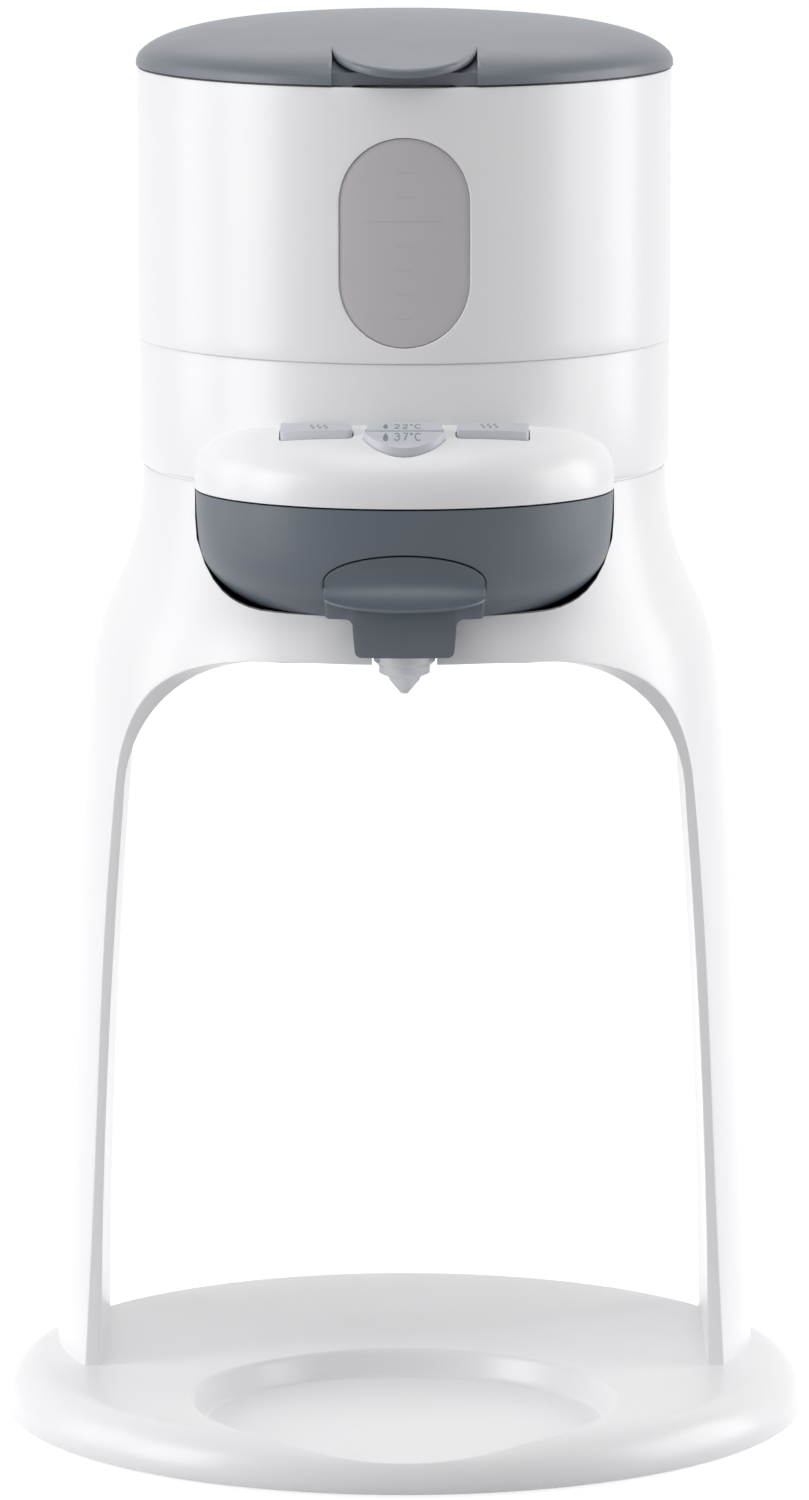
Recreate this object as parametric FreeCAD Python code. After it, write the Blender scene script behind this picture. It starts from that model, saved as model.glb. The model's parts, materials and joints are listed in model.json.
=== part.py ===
import FreeCAD, Part
import math
import os
from FreeCAD import Vector

# Baby formula maker, in millimetres.
# The origin is the centre of the round base on the table, +Z up, the front faces -Y, +X to the right.

# Base
base_radius = 101.5
base_underside = 1.0  # the feet hold the base this far off the table
base_top = 13.5
base_edge_round = 10.0
base_wall = 2.6
cover_thick = 2.0
cover_gap = 0.4
foot_radius = 7.0
foot_thick = 2.2
foot_ring_radius = base_radius - 15.5
foot_count = 6
cover_screw_ring = base_radius - 41.5
ballast_y = 14.0
ballast_thick = 4.0
ballast_outer = base_radius - 29.5
ballast_inner = 34.0

# Bottle recess in the base
recess_floor_radius = 50.0
recess_rim_radius = 53.0
recess_floor = 6.8
recess_edge_round = 1.8

# Bell-shaped arch: housing and legs are one bell, cut through from front to back
axis_y = 22.0
shell_wall = 2.4
tunnel_top_z = 198.8
drum_radius = 66.9
neck_radius = drum_radius - 1.0
neck_top = tunnel_top_z + 40.6
shoulder_radius = 79.9
shoulder_z = tunnel_top_z - 17.8
bell_foot_radius = base_radius - 12.0
leg_bottom = 6.0
# from the neck to the shoulder: how far along the way, and how far below the neck's top
neck_curve = [(0.0786, 12.4), (0.2714, 23.4), (0.7357, 38.4)]
# from the shoulder to the foot: how far along the way, and the height
leg_curve = [(0.4479, shoulder_z - 56.0), (0.7292, leg_bottom + 54.0)]
tunnel_foot_half = bell_foot_radius - 12.6
tunnel_mid_half = tunnel_foot_half - 2.0
tunnel_mid_z = 87.0
tunnel_corner = 40.0
tunnel_corner_x = tunnel_mid_half - 44.5
leg_half_depth = 37.4
chin_round = 36.0
leg_boss_radius = 3.6
leg_boss_height = 26.0
leg_boss_x = bell_foot_radius - 6.5
leg_boss_spread = 14.0

# Drum: collar and tank share it
drum_wall = 2.4
collar_bottom = neck_top + 0.6
collar_height = 31.6
collar_top = collar_bottom + collar_height
spigot_gap = 0.4
spigot_depth = 5.0
dock_plate_thick = 2.6
dock_cup_radius = 12.0
dock_cup_wall = 2.2
dock_cup_depth = 14.2

# Tank
tank_gap = 0.4
tank_radius = drum_radius + 0.3
tank_height = 68.0
tank_bottom = collar_top + tank_gap
tank_top = tank_bottom + tank_height
sleeve_wall = 2.4
vessel_gap = 0.5
vessel_wall = 2.0
vessel_rim_drop = 2.0
window_width = 32.8
window_height = tank_height - 16.2
window_centre_z = tank_bottom + window_height / 2 + 3.8
window_gap = 0.15
window_inset = 0.5
window_thick = 1.6

# Tank valve
valve_neck_inner = 8.0
valve_neck_outer = 10.5
valve_neck_length = 12.4
valve_wall = 1.5
seat_hole = 4.0
poppet_radius = 5.6
poppet_thick = 2.0
stem_radius = 1.9
stem_clearance = 0.08
poppet_travel = 1.5
poppet_open = 1.0
valve_seal_thick = 1.2

# Lid and its hinge
lid_gap = 0.3
lid_bottom = tank_top + lid_gap
lid_radius = tank_radius + 0.3
# the dome's outline from its rim to its middle: how far in, and how high
lid_line = [(0.0, 0.0), (0.2, 2.0), (1.5, 3.7), (5.0, 6.0), (12.5, 8.6), (29.5, 11.1), (52.5, 12.6)]
lid_height = 12.9
lid_wall = 2.2
notch_width = 35.7
notch_depth_y = 3.6
ledge_chord_y = axis_y - lid_radius + 13.5
ledge_chord_z = lid_bottom + 8.4
ledge_front_y = ledge_chord_y - 17.0
ledge_front_z = lid_bottom + 3.1
ledge_thick = 1.5
liner_clearance = 1.4
liner_thick = 1.6
liner_depth = 4.0
hinge_y = axis_y + tank_radius + 2.8
hinge_z = tank_top + 3.6
hinge_pin_radius = 1.5
hinge_clearance = 0.06
knuckle_width = 12.0
knuckle_radius = 2.8
knuckle_top = tank_top + 10.0
ear_width = 5.0
ear_gap = 0.4

# Control hood above the drawer: a pillow on an oval plan
hood_half_width = 52.0
hood_half_depth = 43.0
hood_y = axis_y - drum_radius + 24.9
hood_front_y = hood_y - hood_half_depth
hood_bottom = neck_top - 0.9
hood_wall = 2.2
# how far in from the plan, and how far above the bottom
hood_rise = [(0.0, 0.0), (0.0, 4.5), (1.4, 8.9), (4.6, 12.7), (9.5, 15.7), (16.0, 17.9), (24.0, 19.3),
             (34.0, 20.1)]
hood_skin = [(inset, hood_bottom + rise) for inset, rise in hood_rise]
ceiling_thick = 1.6

# Buttons
cap_rise = 1.5
cap_gap = 0.35
cap_travel = 1.0
cap_inner = drum_radius + 2.4
cap_outer = cap_inner + 4.9
cap_edge = 9.2
side_cap_from = 12.8
side_cap_to = 30.5
crescent_gap = 0.7
crescent_half = 10.0
crescent_front_y = hood_front_y + 4.4
cap_depth = 8.5
lower_cap_depth = 7.1
board_thick = 1.6
board_z = hood_bottom + 2.9
board_half_width = 36.0
board_back_y = hood_y - 18.0

# Powder drawer
drawer_top = hood_bottom - 0.5
drawer_back_y = hood_y + 24.0
drawer_wall = 2.6
# how far in from the hood's plan, and how far below the top
drawer_drop = [(0.2, 0.0), (0.5, 7.5), (1.1, 13.0), (2.8, 18.6), (5.6, 23.4), (9.2, 27.0), (13.0, 28.7),
               (17.0, 29.2)]
drawer_skin = [(inset, drawer_top - drop) for inset, drop in drawer_drop]
drawer_floor = drawer_skin[-1][1]
drawer_gap = 0.8
bay_wall = 1.6
rail_width = 4.0
rail_x = 22.0
rail_gap = 0.2
slot_gap = 0.9

# Funnel and nozzle in the drawer
bottle_y = hood_front_y + 14.0  # the bottle, the nozzle and the recess share this line
funnel_half_width = 36.0
funnel_half_depth = 19.4
funnel_y = bottle_y + 11.0
funnel_flange_z = drawer_top - 2.6
funnel_flange_thick = 1.6
funnel_wall = 1.5
funnel_neck_radius = 6.6
funnel_neck_z = drawer_top - 20.5
nozzle_radius = 8.4
nozzle_step_radius = 7.3
nozzle_cone_radius = 5.9
nozzle_tip_radius = 1.2
nozzle_top = drawer_top - 22.0
nozzle_shoulder_z = nozzle_top - 16.8
nozzle_step_z = nozzle_shoulder_z - 4.3
nozzle_tip_z = nozzle_step_z - 4.0
nozzle_wall = 1.3

# Handle on the drawer front
handle_width = 39.4
handle_gap = 0.35
handle_bottom = drawer_floor + 2.5
handle_arch_z = handle_bottom + 15.3
handle_arch_rise = 7.0
handle_back_y = hood_front_y + 5.0
handle_front_y = hood_front_y - 1.6
handle_lip_y = hood_front_y - 7.0
handle_lip_z = handle_bottom + 3.6
handle_lip_thick = 2.2
stub_width = 25.2
stub_bottom = handle_bottom - 9.5
stub_thick = 5.2
stub_corner = 3.2

# Rear cover and mains inlet
rear_cover_width = 60.0
rear_cover_bottom = neck_top - 33.4
rear_cover_top = rear_cover_bottom + 24.0
rear_cover_gap = 0.3
vent_count = 7
vent_width = 2.4
vent_height = 7.5
vent_pitch = 6.0
gland_radius = 5.5
gland_bore = 3.4
gland_z = rear_cover_bottom + 7.5

# Screws
screw_radius = 1.5
screw_head_radius = 3.0
screw_head = 2.0

dock_top = collar_top - 0.4
everything = 500.0  # a cutting shape this long passes right through


def block(x0, x1, y0, y1, z0, z1):
    return Part.makeBox(x1 - x0, y1 - y0, z1 - z0, Vector(x0, y0, z0))


def in_front_of(y):
    return block(-everything, everything, -everything, y, -1, everything)


def disc(radius, z0, z1, x=0.0, y=axis_y):
    return Part.makeCylinder(radius, z1 - z0, Vector(x, y, z0))


def ring(outer, inner, z0, z1, x=0.0, y=axis_y):
    return disc(outer, z0, z1, x, y).cut(disc(inner, z0 - 1, z1 + 1, x, y))


def rod_x(radius, x0, x1, y, z):
    return Part.makeCylinder(radius, x1 - x0, Vector(x0, y, z), Vector(1, 0, 0))


def rod_y(radius, y0, y1, x, z):
    return Part.makeCylinder(radius, y1 - y0, Vector(x, y0, z), Vector(0, 1, 0))


def polygon(points):
    return Part.makePolygon([Vector(*p) for p in points + points[:1]])


def spun(edges, y=axis_y):
    """A closed outline of edges in the plane X-Z, turned once about the upright line at (0, y)."""
    face = Part.Face(Part.Wire(edges))
    face.translate(Vector(0, y, 0))
    return face.revolve(Vector(0, y, 0), Vector(0, 0, 1), 360)


def line(a, b):
    return Part.makeLine(Vector(a[0], 0, a[1]), Vector(b[0], 0, b[1]))


def arc(a, middle, b):
    return Part.Arc(*[Vector(p[0], 0, p[1]) for p in (a, middle, b)]).toShape()


def spun_points(points, y=axis_y):
    return spun([line(a, b) for a, b in zip(points, points[1:] + points[:1])], y)


def quarter(centre, radius, start_deg):
    """The two ends and the middle of a quarter round."""
    angles = [math.radians(start_deg + k * 45) for k in range(3)]
    return [(centre[0] + radius * math.cos(t), centre[1] + radius * math.sin(t)) for t in angles]


def ellipse_wire(half_x, half_y, y, z):
    """An oval in plan. Its long half comes first whichever way it lies."""
    turn = 0 if half_x >= half_y else 90
    oval = Part.Ellipse(Vector(0, 0, 0), max(half_x, half_y), min(half_x, half_y)).toShape()
    wire = Part.Wire([oval])
    wire.rotate(Vector(0, 0, 0), Vector(0, 0, 1), turn)
    wire.translate(Vector(0, y, z))
    return wire


def oval_prism(inset, z0, z1):
    """The upright prism on the hood's plan, drawn in by inset."""
    wire = ellipse_wire(hood_half_width - inset, hood_half_depth - inset, hood_y, z0)
    return Part.Face(wire).extrude(Vector(0, 0, z1 - z0))


def oval_pillow(skin, inset, lift):
    """A solid through ovals that are drawn in from the hood's plan, each at its own height."""
    wires = [ellipse_wire(hood_half_width - inset - d, hood_half_depth - inset - d, hood_y, z + lift)
             for d, z in skin]
    return Part.makeLoft(wires, True, False)


def screw(x, y, z, up, length):
    """A pan-head screw whose head's outer face is at z, pointing along up."""
    head = Part.makeCylinder(screw_head_radius, screw_head, Vector(x, y, z), up)
    slot = Part.makeCylinder(screw_radius * 0.8, screw_head * 0.6, Vector(x, y, z), up)
    shank_start = Vector(x, y, z) + up * screw_head
    shank = Part.makeCylinder(screw_radius, length, shank_start, up)
    return head.fuse(shank).cut(slot).removeSplitter()


def tube(points, outer, inner, bend):
    """A hose of straight runs and tangent bends."""
    corners = [Vector(*p) for p in points]
    edges = []
    last = corners[0]
    for before, corner, after in zip(corners, corners[1:], corners[2:]):
        into = (corner - before).normalize()
        out = (after - corner).normalize()
        turn = into.getAngle(out)
        reach = bend * math.tan(turn / 2)
        start = corner - into * reach
        end = corner + out * reach
        inward = (out - into).normalize()
        middle = corner + inward * (bend / math.cos(turn / 2) - bend)
        edges.append(Part.makeLine(last, start))
        edges.append(Part.Arc(start, middle, end).toShape())
        last = end
    edges.append(Part.makeLine(last, corners[-1]))
    path = Part.Wire(edges)
    along = corners[1] - corners[0]
    solids = []
    for radius in (outer, inner):
        profile = Part.Wire([Part.makeCircle(radius, corners[0], along)])
        solids.append(path.makePipeShell([profile], True, False))
    return solids[0].cut(solids[1])


def coil(x, y, z0, z1, radius, wire, turns):
    """A compression spring on an upright line, one unbroken wire."""
    path = Part.makeHelix((z1 - z0 - 2 * wire) / turns, z1 - z0 - 2 * wire, radius)
    profile = Part.Wire([Part.makeCircle(wire, Vector(radius, 0, 0), Vector(0, 1, 0))])
    spring = Part.Wire(path).makePipeShell([profile], True, True)
    spring.translate(Vector(x, y, z0 + wire))
    return spring


def group(shapes):
    return Part.makeCompound(shapes)


os.makedirs("parts", exist_ok=True)


def save(name, shape):
    solids = shape.Solids
    kept = solids[0] if len(solids) == 1 else Part.makeCompound(solids)
    if not kept.isValid():
        print("not valid:", name)
    kept.exportStep("parts/" + name + ".step")
    print(name, len(solids), round(kept.Volume / 1000, 2), "cm3")


# Base plate: a dished shell with the bottle recess let into its front

def base_body(inset):
    """The base disc, or the hollow inside it, which is drawn in by inset."""
    radius = base_radius - inset
    round_in = base_edge_round - inset
    top = base_top - inset
    side = quarter((radius - round_in, top - round_in), round_in, 0)
    low = base_underside if inset == 0 else base_underside - 1
    return spun([line((0, low), (radius, low)), line((radius, low), side[0]), arc(*side),
                 line(side[2], (0, top)), line((0, top), (0, low))], 0.0)


recess_slope = recess_rim_radius - recess_floor_radius
rim_arc_end = (recess_rim_radius + recess_edge_round, base_top)
rim_arc_start = (recess_rim_radius - recess_slope * recess_edge_round / (base_top - recess_floor),
                 base_top - recess_edge_round)
rim_arc_mid = (recess_rim_radius + recess_edge_round * 0.22, base_top - recess_edge_round * 0.28)
recess = spun([line((0, recess_floor), (recess_floor_radius, recess_floor)),
               line((recess_floor_radius, recess_floor), rim_arc_start),
               arc(rim_arc_start, rim_arc_mid, rim_arc_end),
               line(rim_arc_end, (rim_arc_end[0], base_top + 5)),
               line((rim_arc_end[0], base_top + 5), (0, base_top + 5)),
               line((0, base_top + 5), (0, recess_floor))], bottle_y)

base_solid = base_body(0)
base_hollow = base_body(base_wall).cut(disc(recess_rim_radius + base_wall, 0, base_top, 0, bottle_y))
base_plate = base_solid.cut(recess).cut(base_hollow)
cover_radius = base_radius - base_wall - cover_gap
cover_top = base_underside + cover_thick
base_plate = base_plate.cut(disc(cover_radius + cover_gap, 0, cover_top, 0, 0))
leg_boss_places = [(side * leg_boss_x, axis_y + k * leg_boss_spread) for side in (-1, 1) for k in (-1, 1)]
for x, y in leg_boss_places:
    boss = disc(screw_head_radius + 2, cover_top, base_top - base_wall, x, y)
    base_plate = base_plate.fuse(boss)
    base_plate = base_plate.cut(disc(screw_head_radius + 0.3, 0, cover_top + screw_head + 0.6, x, y))
    base_plate = base_plate.cut(disc(screw_radius + 0.15, 0, everything, x, y))
cover_screw_angles = [math.radians(60 * k) for k in range(4)]
cover_screw_places = [(cover_screw_ring * math.cos(a), cover_screw_ring * math.sin(a) + ballast_y)
                      for a in cover_screw_angles]
cover_boss_height = base_top - base_wall
for x, y in cover_screw_places:
    base_plate = base_plate.fuse(disc(screw_radius + 2, cover_top, cover_boss_height, x, y))
    base_plate = base_plate.cut(disc(screw_radius, 0, cover_boss_height - 1, x, y))
save("base_plate", base_plate.removeSplitter())

base_cover = disc(cover_radius, base_underside, cover_top, 0, 0)
foot_places = [(foot_ring_radius * math.cos(math.radians(30 + 360 * k / foot_count)),
                foot_ring_radius * math.sin(math.radians(30 + 360 * k / foot_count)))
               for k in range(foot_count)]
for x, y in foot_places:
    base_cover = base_cover.cut(disc(foot_radius, 0, base_underside + 1.2, x, y))
for x, y in cover_screw_places:
    base_cover = base_cover.cut(disc(screw_radius + 0.15, 0, cover_top + 1, x, y))
    base_cover = base_cover.cut(disc(screw_head_radius + 0.2, 0, base_underside + screw_head * 0.6, x, y))
save("base_cover", base_cover)
save("rubber_feet", group([disc(foot_radius, 0, foot_thick, x, y) for x, y in foot_places]))
up = Vector(0, 0, 1)
cover_screws = [screw(x, y, base_underside - 0.8, up, 5.5) for x, y in cover_screw_places]
save("base_screws", group(cover_screws))
leg_screws = [screw(x, y, cover_top + 0.4, up, leg_boss_height) for x, y in leg_boss_places]
save("leg_screws", group(leg_screws))
ballast = ring(ballast_outer, ballast_inner, cover_top, cover_top + ballast_thick, 0, ballast_y)
ballast = ballast.cut(in_front_of(bottle_y + recess_rim_radius + base_wall + 4))
for x, y in cover_screw_places:
    ballast = ballast.cut(disc(screw_radius + 2.6, 0, everything, x, y))
save("ballast_plate", ballast)


# Arch: one bell, cut through by a tunnel, with a lining plate that closes the hollow legs

shoulder_growth = shoulder_radius - neck_radius
foot_growth = bell_foot_radius - shoulder_radius
bell_line = [(neck_radius, neck_top)]
bell_line += [(neck_radius + part * shoulder_growth, neck_top - drop) for part, drop in neck_curve]
bell_line += [(shoulder_radius, shoulder_z)]
bell_line += [(shoulder_radius + part * foot_growth, z) for part, z in leg_curve]
bell_line += [(bell_foot_radius, leg_bottom)]


def bell(inset):
    curve = Part.BSplineCurve()
    curve.interpolate([Vector(r - inset, 0, z) for r, z in bell_line])
    top = (neck_radius - inset, neck_top)
    foot = (bell_foot_radius - inset, leg_bottom)
    return spun([curve.toShape(), line(foot, (0, leg_bottom)), line((0, leg_bottom), (0, neck_top)),
                 line((0, neck_top), top)])


def wall_y(z):
    """Where the bell's outer face is behind the axis, at a height."""
    sliver = block(-0.05, 0.05, axis_y, everything, z, z + 0.1)
    return bell(0).common(sliver).BoundBox.YMax


def tunnel(grow):
    """The passage between the legs, grown on its sides and its top by grow."""
    corner_z = tunnel_top_z - tunnel_corner
    radius = tunnel_corner + grow
    side_x = tunnel_corner_x + radius
    points = quarter((tunnel_corner_x, corner_z), radius, 0)
    edges = [line((-tunnel_foot_half - grow, -1), (tunnel_foot_half + grow, -1)),
             arc((tunnel_foot_half + grow, -1), (tunnel_mid_half + grow, tunnel_mid_z), (side_x, corner_z)),
             arc(*points), line(points[2], (-points[2][0], points[2][1])),
             arc(*[(-x, z) for x, z in reversed(points)]),
             arc((-side_x, corner_z), (-tunnel_mid_half - grow, tunnel_mid_z),
                 (-tunnel_foot_half - grow, -1))]
    face = Part.Face(Part.Wire(edges))
    face.translate(Vector(0, -everything, 0))
    return face.extrude(Vector(0, 2 * everything, 0))


def chin_trim(side):
    """What is cut off in front of (side -1) or behind (side 1) the legs, up to the arch's chin."""
    leg_y = axis_y + side * leg_half_depth
    far = side * everything
    middle_y = leg_y + side * chin_round * (1 - math.cos(math.radians(45)))
    middle_z = tunnel_top_z - chin_round * (1 - math.sin(math.radians(45)))
    points = [Vector(-everything, y, z) for y, z in ((leg_y, -1), (leg_y, tunnel_top_z - chin_round),
              (middle_y, middle_z), (leg_y + side * chin_round, tunnel_top_z), (far, tunnel_top_z),
              (far, -1))]
    edges = [Part.makeLine(points[0], points[1]), Part.Arc(points[1], points[2], points[3]).toShape(),
             Part.makeLine(points[3], points[4]), Part.makeLine(points[4], points[5]),
             Part.makeLine(points[5], points[0])]
    return Part.Face(Part.Wire(edges)).extrude(Vector(2 * everything, 0, 0))


def drawer_prism(grow, y0, y1):
    """The drawer's widest outline, seen from the front, grown by grow and drawn back along Y."""
    right = [(hood_half_width - d + grow, z - (grow if z < drawer_top else 0)) for d, z in drawer_skin]
    lift = (right[0][0], drawer_top + 8)
    curve = Part.BSplineCurve()
    curve.interpolate([Vector(x, 0, z) for x, z in right])
    mirrored = Part.BSplineCurve()
    mirrored.interpolate([Vector(-x, 0, z) for x, z in right])
    foot = right[-1]
    edges = [line(lift, right[0]), curve.toShape(), line(foot, (-foot[0], foot[1])), mirrored.toShape(),
             line((-right[0][0], right[0][1]), (-lift[0], lift[1])), line((-lift[0], lift[1]), lift)]
    face = Part.Face(Part.Wire(Part.sortEdges(edges)[0]))
    face.translate(Vector(0, y0, 0))
    return face.extrude(Vector(0, y1 - y0, 0))


slot_half = nozzle_radius + slot_gap
slot_end_y = bottle_y + 6
slot_top = drawer_floor + 1
spout_slot = block(-slot_half, slot_half, -everything, slot_end_y, 0, slot_top)
spout_slot = spout_slot.fuse(disc(slot_half, 0, slot_top, 0, slot_end_y))
opening = drawer_prism(drawer_gap, -everything, drawer_back_y + 1)
trims = [tunnel(0), chin_trim(-1), chin_trim(1), spout_slot]
inner_bell = bell(shell_wall)

skin = bell(0).cut(inner_bell)
for x, y in leg_boss_places:
    boss = disc(leg_boss_radius, leg_bottom, base_top + leg_boss_height + 4, x, y)
    skin = skin.fuse(boss.common(bell(1.0)).cut(tunnel(shell_wall)))
for shape in trims + [opening, base_solid]:
    skin = skin.cut(shape)
for x, y in leg_boss_places:
    skin = skin.cut(disc(screw_radius, 0, cover_top + screw_head + 0.4 + leg_boss_height, x, y))



def rear_box(grow):
    """The rear cover's outline, grown on all four sides, through the wall behind the axis."""
    half = rear_cover_width / 2 + grow
    return block(-half, half, axis_y, everything, rear_cover_bottom - grow, rear_cover_top + grow)


rear_patch = bell(0).cut(inner_bell).common(rear_box(0))
skin = skin.cut(rear_box(0))
cover_seat = inner_bell.cut(bell(shell_wall + 1.6)).common(rear_box(3)).cut(rear_box(-3))
skin = skin.fuse(cover_seat)
rear_screw_x = rear_cover_width / 2 - 4.5
rear_screw_z = (rear_cover_bottom + rear_cover_top) / 2
rear_screw_radius = wall_y(rear_screw_z) - axis_y + 0.1
rear_screw_y = axis_y + math.sqrt(rear_screw_radius ** 2 - rear_screw_x ** 2)
rear_screws = []
back = Vector(0, -1, 0)
for side in (-1, 1):
    x = side * rear_screw_x
    bore = rod_y(screw_radius + 0.1, rear_screw_y - 14, rear_screw_y + 14, x, rear_screw_z)
    well = rod_y(screw_head_radius + 0.3, rear_screw_y - screw_head, rear_screw_y + 14, x, rear_screw_z)
    skin = skin.cut(bore)
    rear_patch = rear_patch.cut(bore).cut(well)
    rear_screws.append(screw(x, rear_screw_y, rear_screw_z, back, 5.0))
save("arch_shell", skin.removeSplitter())

lining = inner_bell.common(tunnel(shell_wall))
for shape in trims + [base_solid]:
    lining = lining.cut(shape)
save("arch_lining", lining.removeSplitter())

rear_cover = rear_patch.common(rear_box(-rear_cover_gap))
vent_bottom = rear_cover_top - 2.5 - vent_height
for k in range(vent_count):
    x = (k - (vent_count - 1) / 2) * vent_pitch
    rear_cover = rear_cover.cut(block(x - vent_width / 2, x + vent_width / 2, axis_y, everything,
                                      vent_bottom, vent_bottom + vent_height))
rear_wall_y = wall_y(gland_z) + 0.3
gland_seat = rod_y(gland_radius - 1.2, axis_y, everything, 0, gland_z)
rear_cover = rear_cover.cut(gland_seat)
save("rear_cover", rear_cover)
save("rear_screws", group(rear_screws))
gland = rod_y(gland_radius - 1.2, rear_wall_y - 8, rear_wall_y + 2.5, 0, gland_z)
gland = gland.fuse(rod_y(gland_radius, rear_wall_y + 2.0, rear_wall_y + 4.5, 0, gland_z))
gland = gland.cut(rod_y(gland_bore, axis_y, everything, 0, gland_z))
gland = gland.cut(bell(0).cut(inner_bell).cut(gland_seat))
save("mains_inlet", gland)


# Collar with its spigot in the neck, and the plate that the tank docks on

hood_inner = oval_prism(hood_wall, hood_bottom - 20, board_z + board_thick + 6)
collar_edge = 1.2
low = quarter((drum_radius - collar_edge, collar_bottom + collar_edge), collar_edge, -90)
high = quarter((drum_radius - collar_edge / 2, collar_top - collar_edge / 2), collar_edge / 2, 0)
inside = drum_radius - drum_wall
collar = spun([line((inside, collar_bottom), low[0]), arc(*low), line(low[2], high[0]), arc(*high),
               line(high[2], (inside, collar_top)), line((inside, collar_top), (inside, collar_bottom))])
spigot_outer = neck_radius - shell_wall - spigot_gap
spigot = ring(spigot_outer, spigot_outer - 2, neck_top - spigot_depth, collar_bottom + 3)
spigot = spigot.fuse(ring(inside, spigot_outer - 2, collar_bottom, collar_bottom + 3))
spigot = spigot.cut(in_front_of(drawer_back_y + 4))
plate_bottom = dock_top - dock_plate_thick
shelf = ring(inside, inside - 2.4, plate_bottom - 2.4, plate_bottom)
collar = collar.fuse(spigot).fuse(shelf).cut(hood_inner)
save("drum_collar", collar.removeSplitter())

cup_floor = plate_bottom + dock_plate_thick - dock_cup_depth
cup = ring(dock_cup_radius + dock_cup_wall, dock_cup_radius, cup_floor, plate_bottom + 0.5)
cup = cup.fuse(disc(dock_cup_radius + dock_cup_wall, cup_floor - 2, cup_floor))
dock_plate = ring(inside - 0.2, dock_cup_radius, plate_bottom, dock_top).fuse(cup)
pin_top = cup_floor + 1.8
dock_plate = dock_plate.fuse(disc(stem_radius, cup_floor - 1, pin_top))
outlet_x = 7.0
outlet_radius = 3.0
dock_plate = dock_plate.fuse(disc(outlet_radius, cup_floor - 9, cup_floor - 1, outlet_x))
dock_plate = dock_plate.cut(disc(outlet_radius - 1.2, cup_floor - 10, cup_floor + 1, outlet_x))
save("dock_plate", dock_plate.removeSplitter())
neck_bottom = tank_bottom - valve_neck_length
seal_low = neck_bottom + 2.5
save("dock_seal", ring(dock_cup_radius, valve_neck_outer + 0.35, seal_low, seal_low + 2.4))


# Tank: white sleeve with a window, clear vessel inside it

def upright_stadium(width, height, y0, y1, z):
    """A pill shape seen from the front, drawn back along Y."""
    half = width / 2
    straight = height / 2 - half
    shape = block(-half, half, y0, y1, z - straight, z + straight)
    shape = shape.fuse(rod_y(half, y0, y1, 0, z + straight))
    return shape.fuse(rod_y(half, y0, y1, 0, z - straight)).removeSplitter()


edge = 0.8
sleeve_inner = tank_radius - sleeve_wall
foot_arc = quarter((tank_radius - edge, tank_bottom + edge), edge, -90)
top_arc = quarter((tank_radius - edge, tank_top - edge), edge, 0)
sleeve = spun([line((sleeve_inner, tank_bottom), foot_arc[0]), arc(*foot_arc),
               line(foot_arc[2], top_arc[0]), arc(*top_arc), line(top_arc[2], (sleeve_inner, tank_top)),
               line((sleeve_inner, tank_top), (sleeve_inner, tank_bottom))])
window_hole = upright_stadium(window_width, window_height, -everything, axis_y, window_centre_z)
sleeve = sleeve.cut(window_hole)
ear_inner = knuckle_width / 2 + ear_gap
for side in (-1, 1):
    x0 = min(side * ear_inner, side * (ear_inner + ear_width))
    x1 = x0 + ear_width
    ear = rod_x(knuckle_radius, x0, x1, hinge_y, hinge_z)
    ear = ear.fuse(block(x0, x1, hinge_y - 1, hinge_y + knuckle_radius, hinge_z - 10, hinge_z))
    ear = ear.fuse(block(x0, x1, tank_radius + axis_y - 4, hinge_y, hinge_z - 12, tank_top - 1.0))
    ear = ear.cut(disc(sleeve_inner, 0, everything))
    ear = ear.cut(rod_x(hinge_pin_radius, x0 - 1, x1 + 1, hinge_y, hinge_z))
    sleeve = sleeve.fuse(ear)
save("tank_sleeve", sleeve.removeSplitter())

pane_radius = tank_radius - window_inset
pane = upright_stadium(window_width - 2 * window_gap, window_height - 2 * window_gap, -everything, axis_y,
                       window_centre_z)
save("tank_window", pane.common(ring(pane_radius, pane_radius - window_thick, 0, everything)))

vessel_outer = sleeve_inner - vessel_gap
vessel_top = tank_top - vessel_rim_drop
vessel = ring(vessel_outer, vessel_outer - vessel_wall, tank_bottom, vessel_top)
vessel = vessel.fuse(disc(vessel_outer, tank_bottom, tank_bottom + vessel_wall))
vessel = vessel.fuse(ring(sleeve_inner, vessel_outer - 1, vessel_top - 1.6, vessel_top))
vessel = vessel.fuse(disc(valve_neck_outer, neck_bottom, tank_bottom + 1))
vessel = vessel.cut(disc(valve_neck_inner, neck_bottom - 1, tank_bottom + vessel_wall + 1))
save("water_tank", vessel.removeSplitter())


# Tank valve: cage, poppet, seal and spring

cage_bottom = neck_bottom + 0.8
cage_top = tank_bottom + vessel_wall
seat_top = cage_bottom + 1.8
cage = ring(valve_neck_inner, valve_neck_inner - valve_wall, cage_bottom, cage_top)
cage = cage.fuse(ring(valve_neck_inner, seat_hole, cage_bottom, seat_top))
spider_thick = 1.8
spider = disc(valve_neck_inner, cage_top - spider_thick, cage_top)
for k in range(4):
    turn = math.radians(90 * k + 45)
    spider = spider.cut(disc(1.5, 0, everything, 4.6 * math.cos(turn), axis_y + 4.6 * math.sin(turn)))
cage = cage.fuse(spider).cut(disc(stem_radius + stem_clearance, seat_top, everything))
save("valve_body", cage.removeSplitter())
seal_bottom = seat_top + poppet_open
head_bottom = seal_bottom + valve_seal_thick
head_top = head_bottom + poppet_thick
poppet = disc(poppet_radius, head_bottom, head_top)
poppet = poppet.fuse(disc(stem_radius, pin_top + 0.2, cage_top + 2.5))
save("valve_poppet", poppet.removeSplitter())
save("valve_seal", ring(poppet_radius, stem_radius, seal_bottom, head_bottom))
spring_radius = 3.6
save("valve_spring", coil(0, axis_y, head_top, cage_top - spider_thick, spring_radius, 0.3, 4))


# Lid: a domed shell with a finger ledge over a notch at the front, and a hinge knuckle at the back

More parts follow.
